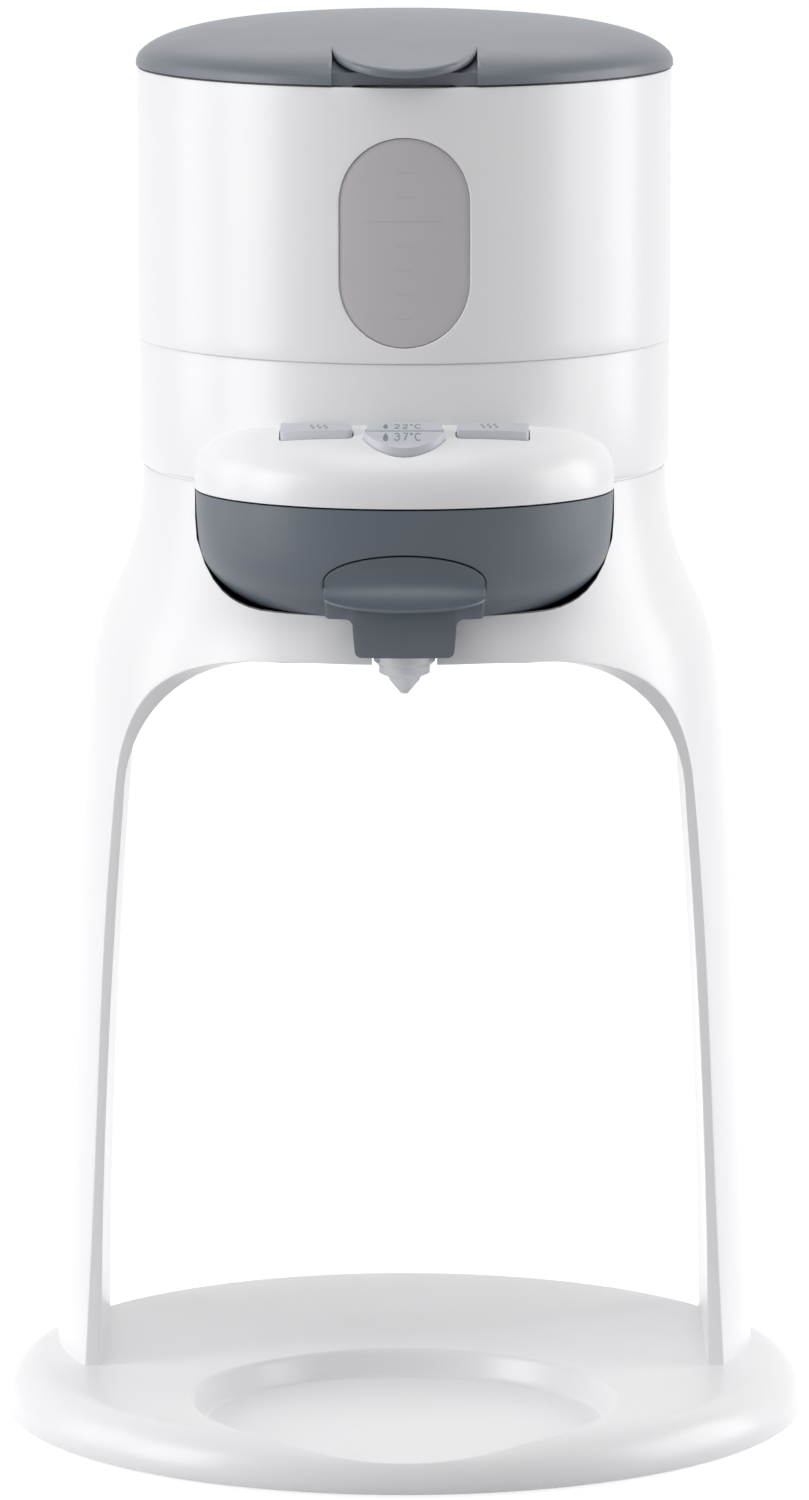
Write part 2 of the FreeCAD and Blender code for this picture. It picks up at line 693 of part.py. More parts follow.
def dome(radial, drop):
    curve = Part.BSplineCurve()
    outline = lid_line + [(lid_radius, lid_height)]
    points = [Vector((lid_radius - inset) * (lid_radius - radial) / lid_radius, 0,
                     lid_bottom + h - (drop if h > 0 else 0)) for inset, h in outline]
    curve.interpolate(points)
    foot = (points[0].x, lid_bottom)
    apex = (0, points[-1].z)
    return spun([curve.toShape(), line(apex, (0, lid_bottom)), line((0, lid_bottom), foot)])


outer_dome = dome(0, 0)
lid = outer_dome.cut(dome(lid_wall, lid_wall))
notch_y = axis_y - lid_radius + notch_depth_y
notch_half = notch_width / 2
notch = block(-notch_half, notch_half, -everything, notch_y, lid_bottom - 1, ledge_front_z)
pocket = block(-notch_half - lid_wall, notch_half + lid_wall, -everything, notch_y + lid_wall,
               lid_bottom, ledge_front_z + 6)
lid = lid.fuse(outer_dome.common(pocket)).cut(notch)
ledge_slope = math.degrees(math.atan2(ledge_chord_z - ledge_front_z, ledge_chord_y - ledge_front_y))
ledge_reach = math.hypot(ledge_chord_z - ledge_front_z, ledge_chord_y - ledge_front_y)
ledge_radius = (notch_half ** 2 + ledge_reach ** 2) / (2 * ledge_reach)
ledge = Part.makeCylinder(ledge_radius, ledge_thick, Vector(0, ledge_radius - ledge_reach, 0))
ledge = ledge.common(block(-notch_half, notch_half, -everything, 3.0, -1, ledge_thick + 1))
ledge = ledge.makeFillet(0.5, [e for e in ledge.Edges if e.Curve.TypeId == "Part::GeomCircle"])
ledge.translate(Vector(0, 0, -ledge_thick))
ledge.rotate(Vector(0, 0, 0), Vector(1, 0, 0), ledge_slope)
ledge.translate(Vector(0, ledge_chord_y, ledge_chord_z))
above_ledge = block(-notch_half, notch_half, -everything, 0, 0, everything)
above_ledge.rotate(Vector(0, 0, 0), Vector(1, 0, 0), ledge_slope)
above_ledge.translate(Vector(0, ledge_chord_y, ledge_chord_z))
lid = lid.cut(above_ledge).fuse(ledge)
knuckle = rod_x(knuckle_radius, -knuckle_width / 2, knuckle_width / 2, hinge_y, hinge_z)
knuckle_back = block(-knuckle_width / 2, knuckle_width / 2, hinge_y - 8, hinge_y + knuckle_radius,
                     hinge_z, knuckle_top)
knuckle_back = knuckle_back.makeFillet(2.6, [e for e in knuckle_back.Edges
               if abs(e.CenterOfMass.z - knuckle_top) < 0.01 and abs(e.CenterOfMass.x) < 0.01])
lid = lid.fuse(knuckle.fuse(knuckle_back))
lid = lid.cut(rod_x(hinge_pin_radius + hinge_clearance, -20, 20, hinge_y, hinge_z))
save("lid", lid.removeSplitter())

liner_radius = vessel_outer - vessel_wall - liner_clearance
liner_bottom = vessel_top - liner_depth
liner_top = lid_bottom + 1.2
liner = disc(liner_radius, liner_top - liner_thick, liner_top)
liner = liner.fuse(ring(liner_radius, liner_radius - liner_thick, liner_bottom, liner_top))
liner = liner.fuse(ring(lid_radius - lid_wall - 3.2, liner_radius - 1, lid_bottom, liner_top))
liner = liner.cut(pocket)
save("lid_liner", liner.removeSplitter())
seal_z = liner_bottom + 1.4
seal_face = vessel_outer - vessel_wall - 0.5
save("lid_seal", ring(seal_face, liner_radius, seal_z, seal_z + 1.6))
pin_half = ear_inner + ear_width
save("hinge_pin", rod_x(hinge_pin_radius, -pin_half, pin_half, hinge_y, hinge_z))


# Control hood with its buttons, and the ceiling over the drawer

drum_core = disc(drum_radius, 0, everything)
hood_outer = oval_pillow(hood_skin, 0, 0)
hood_hollow = oval_pillow(hood_skin, hood_wall, -hood_wall)
hood = hood_outer.cut(hood_hollow).cut(drum_core)


def sector(inner, outer, x_from, x_to, z0, z1, grow):
    """A piece of a ring about the drum's axis, between two distances from the middle plane."""
    piece = ring(outer + grow, inner - grow, z0, z1)
    return piece.common(block(x_from - grow, x_to + grow, -everything, axis_y, z0, z1))


def crescent(z0, z1, grow):
    back = cap_outer + crescent_gap - grow
    front_y = crescent_front_y - grow
    half = crescent_half + grow
    chord_y = axis_y - math.sqrt(back ** 2 - half ** 2)
    reach = chord_y - front_y
    radius = (half ** 2 + reach ** 2) / (2 * reach)
    body = disc(radius, z0, z1, 0, front_y + radius).cut(disc(back, z0 - 1, z1 + 1))
    return body.common(block(-half, half, -everything, axis_y, z0, z1))


def cap_outline(name, z0, z1, grow):
    if name == "lower":
        return crescent(z0, z1, grow)
    spans = {"left": (-side_cap_to, -side_cap_from), "right": (side_cap_from, side_cap_to),
             "upper": (-cap_edge, cap_edge)}
    return sector(cap_inner, cap_outer, *spans[name], z0, z1, grow)


cap_names = ["left", "right", "upper", "lower"]
cap_ceiling = oval_pillow(hood_skin, 0, cap_rise)
for name in cap_names:
    hood = hood.cut(cap_outline(name, hood_bottom, everything, cap_gap))
save("control_hood", hood.removeSplitter())
board_top = board_z + board_thick
for name in cap_names:
    cap_bottom = hood_bottom + (lower_cap_depth if name == "lower" else cap_depth)
    cap = cap_outline(name, cap_bottom, everything, 0).common(cap_ceiling).Solids[0]
    centre = cap.CenterOfMass
    save("button_" + name, cap)
    save("spring_" + name, coil(centre.x, centre.y, board_top, cap_bottom, 1.3, 0.22, 3))

board_plan = block(-board_half_width, board_half_width, -everything, board_back_y, 0, everything)
board = oval_prism(hood_wall + 5, board_z, board_top).common(board_plan)
chip_y = board_back_y - 6
board = board.fuse(block(-30, -26, chip_y, chip_y + 4, board_top, board_top + 1.6))
board = board.fuse(block(24, 30, chip_y, chip_y + 4, board_top, board_top + 1.2))
save("control_board", board.removeSplitter())

ceiling_z = board_z - ceiling_thick - 0.8
ceiling = oval_prism(hood_wall + 0.3, ceiling_z, ceiling_z + ceiling_thick)
ceiling = ceiling.common(in_front_of(drawer_back_y + 3))
for x in (-30, 30):
    ceiling = ceiling.fuse(disc(2.0, ceiling_z, board_z, x, board_back_y - 4))
shower_radius = 9.0
shower_y = funnel_y + 18
ceiling = ceiling.cut(disc(shower_radius, 0, everything, 0, shower_y))
save("bay_ceiling", ceiling.removeSplitter())
shower = disc(shower_radius, ceiling_z - 0.2, ceiling_z + 5, 0, shower_y)
shower = shower.cut(disc(shower_radius - 1.4, ceiling_z + 1, ceiling_z + 3.6, 0, shower_y))
for k in range(6):
    turn = math.radians(60 * k)
    shower = shower.cut(disc(0.6, 0, ceiling_z + 2, 5 * math.cos(turn), shower_y + 5 * math.sin(turn)))
shower_top = ceiling_z + 9
shower = shower.fuse(disc(3.0, ceiling_z + 5, shower_top, 0, shower_y))
shower = shower.cut(disc(1.7, ceiling_z + 3, shower_top + 1, 0, shower_y))
save("shower_head", shower.removeSplitter())


# Drawer bay and rails

bay_front = hood_y - 10
bay_back = drawer_back_y + 1
bay = drawer_prism(drawer_gap + bay_wall, bay_front, bay_back + bay_wall)
bay = bay.cut(drawer_prism(drawer_gap, -everything, bay_back))
bay = bay.common(bell(shell_wall + 0.1)).cut(spout_slot)
bay = bay.cut(block(-everything, everything, -everything, everything, ceiling_z, everything))
save("drawer_bay", bay.removeSplitter())
rails = []
for side in (-1, 1):
    x0 = side * rail_x - rail_width / 2
    rails.append(block(x0, x0 + rail_width, bay_front - 8, bay_back, drawer_floor - drawer_gap,
                       drawer_floor - rail_gap))
save("drawer_rails", group(rails))


# Drawer, its handle, and the funnel with its nozzle

drawer_solid = oval_pillow(drawer_skin, 0, 0).common(in_front_of(drawer_back_y))
pocket = oval_pillow([(d, z + drawer_wall) for d, z in drawer_skin], drawer_wall, 0)
pocket = pocket.common(in_front_of(drawer_back_y - drawer_wall))
shelf_cut = oval_prism(1.6, funnel_flange_z, drawer_top + 5).common(in_front_of(drawer_back_y - 1.2))


def handle_arch(grow, y0, y1):
    """The handle's outline seen from the front: upright sides under a flat arch."""
    half = handle_width / 2 + grow
    top = handle_arch_z + grow
    spring_z = handle_arch_z - handle_arch_rise
    rise = Part.Ellipse(Vector(half, 0, spring_z), Vector(0, 0, top), Vector(0, 0, spring_z))
    upper = Part.ArcOfEllipse(rise, 0, math.pi)
    ends = sorted((upper.StartPoint, upper.EndPoint), key=lambda p: p.x)
    low_left = (ends[0].x, handle_bottom - grow)
    low_right = (ends[1].x, handle_bottom - grow)
    if upper.value((upper.FirstParameter + upper.LastParameter) / 2).z < spring_z:
        upper = Part.ArcOfEllipse(rise, math.pi, 2 * math.pi)
    edges = [upper.toShape(), line((ends[1].x, ends[1].z), low_right), line(low_right, low_left),
             line(low_left, (ends[0].x, ends[0].z))]
    face = Part.Face(Part.Wire(Part.sortEdges(edges)[0]))
    face.translate(Vector(0, y0, 0))
    return face.extrude(Vector(0, y1 - y0, 0))


drawer = drawer_solid.cut(pocket).cut(shelf_cut)
drawer = drawer.cut(handle_arch(handle_gap, -everything, handle_back_y + 1.5))
drawer = drawer.cut(disc(nozzle_radius + 0.2, 0, everything, 0, bottle_y))
save("drawer_shell", drawer)

scoop_outline = [(handle_back_y, handle_bottom), (handle_front_y + 1.2, handle_bottom),
                 (handle_front_y, handle_lip_z - handle_lip_thick),
                 (handle_lip_y + 0.6, handle_lip_z - handle_lip_thick * 0.7), (handle_lip_y, handle_lip_z),
                 (handle_front_y, handle_lip_z + 3.6), (handle_front_y + 2.0, handle_arch_z + 0.4),
                 (handle_back_y, handle_arch_z + 0.4)]
scoop_profile = [Vector(-everything, y, z) for y, z in scoop_outline]
scoop_edges = [Part.makeLine(a, b) for a, b in zip(scoop_profile[:4], scoop_profile[1:5])]
scoop_edges.append(Part.Arc(*scoop_profile[4:7]).toShape())
scoop_edges.append(Part.makeLine(scoop_profile[6], scoop_profile[7]))
scoop_edges.append(Part.makeLine(scoop_profile[7], scoop_profile[0]))
scoop = Part.Face(Part.Wire(scoop_edges)).extrude(Vector(2 * everything, 0, 0))
plan_depth = handle_back_y - handle_lip_y
plan = Part.Face(ellipse_wire(handle_width / 2 + 0.6, plan_depth, handle_back_y, 0))
plan = plan.extrude(Vector(0, 0, everything))
scoop = scoop.common(plan).common(handle_arch(0, -everything, 0))
stub_half = stub_width / 2
stub = block(-stub_half, stub_half, handle_front_y, handle_front_y + stub_thick, stub_bottom,
             handle_bottom + 1)
stub_edges = [e for e in stub.Edges if abs(e.CenterOfMass.z - stub_bottom) < 0.01]
stub = stub.makeFillet(stub_corner, [e for e in stub_edges if abs(e.CenterOfMass.x) > stub_half - 0.01])
handle = scoop.fuse(stub)
save("drawer_handle", handle.removeSplitter())

flange = oval_prism(1.9, funnel_flange_z, funnel_flange_z + funnel_flange_thick)
flange = flange.common(in_front_of(drawer_back_y - 1.5))


def funnel_cone(inset, z_top, z_bottom):
    """An oval mouth that narrows to the round neck."""
    top = ellipse_wire(funnel_half_width - inset, funnel_half_depth - inset, funnel_y, z_top)
    radius = funnel_neck_radius - inset
    necks = [Part.Wire([Part.makeCircle(radius, Vector(0, bottle_y, z))])
             for z in (funnel_neck_z, z_bottom)]
    return Part.makeLoft([top] + necks, True, True)


funnel_top = funnel_flange_z + funnel_flange_thick
funnel = flange.fuse(funnel_cone(0, funnel_flange_z + 0.5, nozzle_top - 2))
funnel = funnel.cut(funnel_cone(funnel_wall, funnel_top + 0.3, nozzle_top - 4))
save("mixing_funnel", funnel)

nozzle_outer = [(0, nozzle_top), (nozzle_radius, nozzle_top), (nozzle_radius, nozzle_shoulder_z),
                (nozzle_step_radius, nozzle_shoulder_z - 1.2), (nozzle_step_radius, nozzle_step_z),
                (nozzle_cone_radius, nozzle_step_z - 0.3), (nozzle_tip_radius, nozzle_tip_z),
                (0, nozzle_tip_z)]
nozzle = spun_points(nozzle_outer, bottle_y)
nozzle_inner = [(0, nozzle_top + 1), (nozzle_radius - nozzle_wall, nozzle_top + 1),
                (nozzle_radius - nozzle_wall, nozzle_shoulder_z + 0.6),
                (nozzle_step_radius - nozzle_wall, nozzle_shoulder_z - 1.4),
                (nozzle_step_radius - nozzle_wall, nozzle_step_z + 0.6),
                (nozzle_tip_radius - 0.5, nozzle_tip_z + 1.2), (nozzle_tip_radius - 0.5, nozzle_tip_z - 1),
                (0, nozzle_tip_z - 1)]
nozzle = nozzle.cut(spun_points(nozzle_inner, bottle_y))
save("spout_nozzle", nozzle)
save("funnel_seal", ring(nozzle_radius - nozzle_wall, funnel_neck_radius, nozzle_top - 1.8, nozzle_top - 0.2,
                         0, bottle_y))


# Water works behind the drawer, standing on the lining's top

deck = tunnel_top_z + shell_wall
nipple_radius = 3.0
nipple_bore = 1.7
heater_top = deck + 28
heater_y = 38.0
heater_inlet_x = -18.0
heater_outlet_x = -38.0
heater = block(-46, -10, 26, 50, deck + 2, heater_top)
heater = heater.fuse(block(-42, -36, 30, 46, deck, deck + 3)).fuse(block(-20, -14, 30, 46, deck, deck + 3))
nipple_top = heater_top + 4
for x in (heater_inlet_x, heater_outlet_x):
    heater = heater.fuse(disc(nipple_radius, heater_top - 1, nipple_top, x, heater_y))
    heater = heater.cut(disc(nipple_bore, deck + 6, nipple_top + 1, x, heater_y))
save("heater_block", heater.removeSplitter())
save("thermostat", disc(5.5, heater_top, heater_top + 3.5, -28, 32))
save("thermal_fuse", rod_x(1.6, -33, -23, 46, heater_top + 1.6))

pump_radius = 12.5
pump_y = 34.0
pump_z = deck + pump_radius + 1
pump_top = pump_z + pump_radius + 6.5
pump_inlet_x = 16.0
pump_outlet_x = 32.0
pump = rod_x(pump_radius, 8, 40, pump_y, pump_z).fuse(rod_x(5, 40, 45, pump_y, pump_z))
for x in (pump_inlet_x, pump_outlet_x):
    pump = pump.fuse(disc(nipple_radius, pump_z + pump_radius - 2, pump_top, x, pump_y))
    pump = pump.cut(disc(nipple_bore, pump_z, pump_top + 1, x, pump_y))
save("water_pump", pump.removeSplitter())
mounts = [block(x, x + 6, pump_y - 9, pump_y + 9, deck, pump_z - 3)
          .cut(rod_x(pump_radius, 0, 60, pump_y, pump_z)) for x in (12, 30)]
save("pump_mounts", group(mounts))

meter_y = 64.0
meter_inlet_x = -38.0
meter_outlet_x = -30.0
meter_top = deck + 18
meter = disc(9.0, deck, deck + 12, (meter_inlet_x + meter_outlet_x) / 2, meter_y)
for x in (meter_inlet_x, meter_outlet_x):
    meter = meter.fuse(disc(nipple_radius, deck + 11, meter_top, x, meter_y))
    meter = meter.cut(disc(nipple_bore, deck + 3, meter_top + 1, x, meter_y))
save("flow_meter", meter.removeSplitter())
power = block(12, 46, 60, 61.6, deck, deck + 30).fuse(block(16, 28, 51, 60, deck + 3, deck + 17))
power = power.fuse(rod_y(4.0, 50, 60, 36, deck + 8)).fuse(rod_y(4.0, 50, 60, 36, deck + 20))
save("power_board", power.removeSplitter())

hose_outer = 2.8
hose_bend = 3.4
outlet_z = cup_floor - 9
high = outlet_z - 3.5
middle = high - 6.0
over = shower_top + 4.0
front_run_y = drawer_back_y + 12.0
hoses = {
    "suction_hose": [(outlet_x, axis_y, outlet_z), (outlet_x, axis_y, high), (outlet_x, 56, high),
                     (meter_inlet_x, meter_y, high), (meter_inlet_x, meter_y, meter_top)],
    "pump_hose": [(meter_outlet_x, meter_y, meter_top), (meter_outlet_x, meter_y, middle),
                  (pump_inlet_x, pump_y, middle), (pump_inlet_x, pump_y, pump_top)],
    "heater_hose": [(pump_outlet_x, pump_y, pump_top), (pump_outlet_x, pump_y, middle),
                    (pump_outlet_x, front_run_y, middle), (heater_inlet_x, front_run_y, middle),
                    (heater_inlet_x, heater_y, middle), (heater_inlet_x, heater_y, nipple_top)],
    "shower_hose": [(heater_outlet_x, heater_y, nipple_top), (heater_outlet_x, heater_y, over),
                    (heater_outlet_x, shower_y + 16, over), (0, shower_y, over), (0, shower_y, shower_top)],
}
for name, points in hoses.items():
    save(name, tube(points, hose_outer, nipple_bore, hose_bend))
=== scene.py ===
import json
import math

import bmesh
import bpy
from mathutils import Matrix, Vector


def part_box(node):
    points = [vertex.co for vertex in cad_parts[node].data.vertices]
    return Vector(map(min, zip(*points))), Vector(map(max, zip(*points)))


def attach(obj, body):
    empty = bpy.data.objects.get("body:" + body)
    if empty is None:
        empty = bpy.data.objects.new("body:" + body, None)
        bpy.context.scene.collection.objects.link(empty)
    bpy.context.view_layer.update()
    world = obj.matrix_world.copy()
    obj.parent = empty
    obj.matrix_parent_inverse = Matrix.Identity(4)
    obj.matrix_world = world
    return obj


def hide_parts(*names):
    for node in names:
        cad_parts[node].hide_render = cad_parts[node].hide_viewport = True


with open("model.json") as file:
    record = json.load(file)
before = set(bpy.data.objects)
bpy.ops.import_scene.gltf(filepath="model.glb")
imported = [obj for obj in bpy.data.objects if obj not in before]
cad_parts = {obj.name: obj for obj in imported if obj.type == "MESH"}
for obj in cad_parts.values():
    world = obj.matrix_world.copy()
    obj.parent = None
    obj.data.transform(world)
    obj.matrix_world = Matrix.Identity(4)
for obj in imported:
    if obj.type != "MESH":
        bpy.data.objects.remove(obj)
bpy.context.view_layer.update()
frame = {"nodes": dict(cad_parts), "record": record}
nodes = frame["nodes"]
mm = 0.001
print("frame loaded:", len(nodes), "nodes")


# Helpers for materials

def hexToLinear(code):
    # sRGB hex to the linear values that the shader wants
    channels = [int(code[k:k + 2], 16) / 255 for k in (1, 3, 5)]
    linear = [c / 12.92 if c <= 0.04045 else ((c + 0.055) / 1.055) ** 2.4 for c in channels]
    return (*linear, 1.0)


def addNode(tree, kind, settings=None, links=None):
    # one node, its settings by attribute or by socket, and what feeds its sockets
    node = tree.nodes.new(kind)
    for name, value in (settings or {}).items():
        if isinstance(name, str) and hasattr(node, name):
            setattr(node, name, value)
        else:
            node.inputs[name].default_value = value
    for name, source in (links or {}).items():
        tree.links.new(source, node.inputs[name])
    return node


def newMaterial(name):
    material = bpy.data.materials.new(name)
    material.use_nodes = True
    shader = material.node_tree.nodes["Principled BSDF"]
    return material, shader


def feed(material, source, shader, socket):
    material.node_tree.links.new(source, shader.inputs[socket])


def speckle(material, pitch, detail):
    # noise on the piece's own coordinates; pitch is the size of one grain in millimetres
    place = addNode(material.node_tree, "ShaderNodeTexCoord")
    return addNode(material.node_tree, "ShaderNodeTexNoise",
                   {"Scale": 1 / (pitch * mm), "Detail": detail, "Roughness": 0.5},
                   {"Vector": place.outputs["Object"]})


def colourRamp(material, source, low, high):
    # from one sRGB colour to another over the middle of the noise's range
    ramp = addNode(material.node_tree, "ShaderNodeValToRGB", links={"Fac": source})
    for element, position, colour in zip(ramp.color_ramp.elements, (0.3, 0.7), (low, high)):
        element.position = position
        element.color = hexToLinear(colour)
    return ramp.outputs["Color"]


def roughnessRange(material, source, low, high):
    spread = addNode(material.node_tree, "ShaderNodeMapRange", {"To Min": low, "To Max": high},
                     {"Value": source})
    return spread.outputs["Result"]


def grain(material, shader, source, height):
    bump = addNode(material.node_tree, "ShaderNodeBump", {"Distance": height * mm, "Strength": 1.0},
                   {"Height": source})
    feed(material, bump.outputs["Normal"], shader, "Normal")


def mouldedPlastic(name, look):
    # injection-moulded plastic: a colour that drifts very slightly over centimetres,
    # a satin skin whose roughness wanders, and spark-eroded grain too fine to see singly
    material, shader = newMaterial(name)
    drift = speckle(material, look["driftMm"], 2.0)
    tone = colourRamp(material, drift.outputs["Fac"], look["shade"], look["colour"])
    feed(material, tone, shader, "Base Color")
    skin = speckle(material, look["patchMm"], 3.0)
    feed(material, roughnessRange(material, skin.outputs["Fac"], *look["roughness"]), shader, "Roughness")
    fine = speckle(material, look["grainMm"], 1.0)
    grain(material, shader, fine.outputs["Fac"], look["grainHeightMm"])
    shader.inputs["IOR"].default_value = look["ior"]
    return material


plastics = {
    # white ABS with a polished skin: bright, with soft reflections of the lamps
    "whiteAbs": dict(colour="#F4F4F5", shade="#F3F3F5", roughness=(0.27, 0.31), ior=1.53,
                     driftMm=90, patchMm=25, grainMm=0.6, grainHeightMm=0.0004),
    # slate ABS with a satin skin: the lid
    "slateAbs": dict(colour="#686E76", shade="#656B73", roughness=(0.34, 0.42), ior=1.53,
                     driftMm=40, patchMm=9, grainMm=0.35, grainHeightMm=0.006),
    # darker slate ABS with fine grain: the drawer and its handle
    "drawerAbs": dict(colour="#59616B", shade="#555D67", roughness=(0.36, 0.44), ior=1.53,
                      driftMm=40, patchMm=9, grainMm=0.35, grainHeightMm=0.006),
    # light grey keys
    "greyCaps": dict(colour="#CBCFD5", shade="#C8CCD2", roughness=(0.34, 0.42), ior=1.53,
                     driftMm=20, patchMm=6, grainMm=0.35, grainHeightMm=0.004),
    # dark inner moulding
    "bayAbs": dict(colour="#4A4640", shade="#453F38", roughness=(0.5, 0.6), ior=1.53,
                   driftMm=30, patchMm=9, grainMm=0.5, grainHeightMm=0.01),
    # milky polypropylene funnel
    "frostedPp": dict(colour="#E2E4E8", shade="#DEE0E5", roughness=(0.36, 0.46), ior=1.49,
                      driftMm=30, patchMm=8, grainMm=0.4, grainHeightMm=0.004),
    # smoke-tinted acrylic pane
    "windowSmoke": dict(colour="#C8C4C9", shade="#C5C1C6", roughness=(0.2, 0.26), ior=1.49,
                        driftMm=40, patchMm=12, grainMm=0.5, grainHeightMm=0.001),
    # glass-epoxy circuit board
    "circuit": dict(colour="#1F5B3A", shade="#1B5234", roughness=(0.35, 0.5), ior=1.5,
                    driftMm=10, patchMm=5, grainMm=0.4, grainHeightMm=0.01),
    # printed inks on the keys and on the window
    "printGrey": dict(colour="#8E939B", shade="#898E96", roughness=(0.4, 0.5), ior=1.5,
                      driftMm=20, patchMm=6, grainMm=0.4, grainHeightMm=0.001),
    "printWhite": dict(colour="#BAB6BB", shade="#B7B3B8", roughness=(0.4, 0.5), ior=1.5,
                       driftMm=20, patchMm=6, grainMm=0.4, grainHeightMm=0.001),
    # moulded silicone
    "silicone": dict(colour="#8C9096", shade="#878B91", roughness=(0.5, 0.62), ior=1.41,
                     driftMm=20, patchMm=6, grainMm=0.4, grainHeightMm=0.006),
    # pale silicone hose
    "siliconeHose": dict(colour="#D4D6D8", shade="#CFD1D4", roughness=(0.4, 0.5), ior=1.41,
                         driftMm=20, patchMm=6, grainMm=0.4, grainHeightMm=0.004),
}
materials = {name: mouldedPlastic(name, look) for name, look in plastics.items()}


def clearPlastic(name, colour, roughness, ior, passed=1.0):
    # clear copolyester: water-white, with a polished or a frosted skin
    material, shader = newMaterial(name)
    shader.inputs["Base Color"].default_value = hexToLinear(colour)
    shader.inputs["Transmission Weight"].default_value = passed
    shader.inputs["IOR"].default_value = ior
    skin = speckle(material, 6, 2.0)
    feed(material, roughnessRange(material, skin.outputs["Fac"], *roughness), shader, "Roughness")
    return material


materials["clearCopolyester"] = clearPlastic("clearCopolyester", "#F4F6F7", (0.04, 0.08), 1.57)
materials["frostedCopolyester"] = clearPlastic("frostedCopolyester", "#F2F3F6", (0.5, 0.6), 1.57, 0.45)


def brushedMetal(name, colours, roughness, lineMm):
    # drawn or brushed metal: lines that are far longer across the piece than along its height
    stretch = 12.0
    material, shader = newMaterial(name)
    shader.inputs["Metallic"].default_value = 1.0
    place = addNode(material.node_tree, "ShaderNodeTexCoord")
    squeeze = addNode(material.node_tree, "ShaderNodeMapping", {"Scale": (1.0, 1.0, stretch)},
                      {"Vector": place.outputs["Object"]})
    lines = addNode(material.node_tree, "ShaderNodeTexNoise",
                    {"Scale": 1 / (lineMm * mm) / stretch, "Detail": 3.0},
                    {"Vector": squeeze.outputs["Vector"]})
    feed(material, colourRamp(material, lines.outputs["Fac"], *colours), shader, "Base Color")
    feed(material, roughnessRange(material, lines.outputs["Fac"], *roughness), shader, "Roughness")
    return material


materials["zincSteel"] = brushedMetal("zincSteel", ("#B9BBBE", "#C6C8CB"), (0.25, 0.38), 0.3)
materials["castAluminium"] = brushedMetal("castAluminium", ("#C9CACC", "#D3D4D6"), (0.4, 0.55), 0.8)

slotMaterial = {
    "white_abs": "whiteAbs", "slate_abs": "slateAbs", "drawer_abs": "drawerAbs", "grey_caps": "greyCaps",
    "bay_abs": "bayAbs", "frosted_pp": "frostedPp", "window_smoke": "windowSmoke", "circuit": "circuit",
    "silicone": "silicone", "silicone_hose": "siliconeHose", "clear_tritan": "clearCopolyester",
    "nozzle_clear": "frostedCopolyester", "steel": "zincSteel", "cast_aluminium": "castAluminium",
}
for part in frame["record"]["subparts"]:
    mesh = nodes[part["node"]].data
    mesh.materials.clear()
    mesh.materials.append(materials[slotMaterial[part["material_slot"]]])
print("materials made:", len(materials))


# Helpers for meshes: shapes are written in millimetres and become metres in finishPiece

def boxMm(node):
    low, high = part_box(node)
    return Vector(low) / mm, Vector(high) / mm


def smoothThrough(points, steps):
    # natural cubic curve through the points, sampled evenly in chord length
    count = len(points)
    knots = [0.0]
    for a, b in zip(points, points[1:]):
        knots.append(knots[-1] + math.dist(a, b))
    gaps = [b - a for a, b in zip(knots, knots[1:])]
    bends = []
    for axis in (0, 1):
        values = [p[axis] for p in points]
        ratio, share = [0.0], [0.0]
        for k in range(1, count - 1):
            weight = 2 * (gaps[k - 1] + gaps[k]) - gaps[k - 1] * ratio[k - 1]
            ratio.append(gaps[k] / weight)
            turn = 6 * ((values[k + 1] - values[k]) / gaps[k] - (values[k] - values[k - 1]) / gaps[k - 1])
            share.append((turn - gaps[k - 1] * share[k - 1]) / weight)
        bend = [0.0] * count
        for k in range(count - 2, 0, -1):
            bend[k] = share[k] - ratio[k] * bend[k + 1]
        bends.append(bend)
    line = []
    for step in range(steps + 1):
        t = knots[-1] * step / steps
        k = max(0, min(count - 2, sum(1 for knot in knots[1:-1] if knot <= t)))
        u, w = knots[k + 1] - t, t - knots[k]
        spot = []
        for axis in (0, 1):
            left, right = points[k][axis], points[k + 1][axis]
            m0, m1 = bends[axis][k], bends[axis][k + 1]
            gap = gaps[k]
            spot.append(m0 * u ** 3 / (6 * gap) + m1 * w ** 3 / (6 * gap)
                        + (left / gap - m0 * gap / 6) * u + (right / gap - m1 * gap / 6) * w)
        line.append(tuple(spot))
    return line


def roundedOutline(corners, radii, steps=4):
    # closed outline whose corners become arcs; a radius of 0 keeps a corner sharp
    outline = []
    for k, corner in enumerate(corners):
        radius = radii[k]
        here = Vector(corner)
        if not radius:
            outline.append(tuple(here))
            continue
        into = (Vector(corners[k - 1]) - here).normalized()
        away = (Vector(corners[(k + 1) % len(corners)]) - here).normalized()
        opening = into.angle(away)
        reach = radius / math.tan(opening / 2)
        centre = here + (into + away).normalized() * (radius / math.sin(opening / 2))
        first = here + into * reach - centre
        last = here + away * reach - centre
        sweep = math.pi - opening
        side = 1 if first.x * last.y - first.y * last.x > 0 else -1
        for step in range(steps + 1):
            turn = side * sweep * step / steps
            spot = Vector((first.x * math.cos(turn) - first.y * math.sin(turn),
                           first.x * math.sin(turn) + first.y * math.cos(turn)))
            outline.append(tuple(centre + spot))
    return outline


def lathed(outline, axisY, turns):
    # closed outline of (radius, height) turned about an upright axis; radius 0 closes a pole
    verts, faces = [], []
    rows = len(outline)
    for k in range(turns):
        angle = 2 * math.pi * k / turns
        for radius, height in outline:
            verts.append((radius * math.sin(angle), axisY - radius * math.cos(angle), height))
    for k in range(turns):
        for row in range(rows):
            a, b = k * rows + row, k * rows + (row + 1) % rows
            c, d = (k + 1) % turns * rows + (row + 1) % rows, (k + 1) % turns * rows + row
            faces.append((a, b, c, d))
    return verts, faces


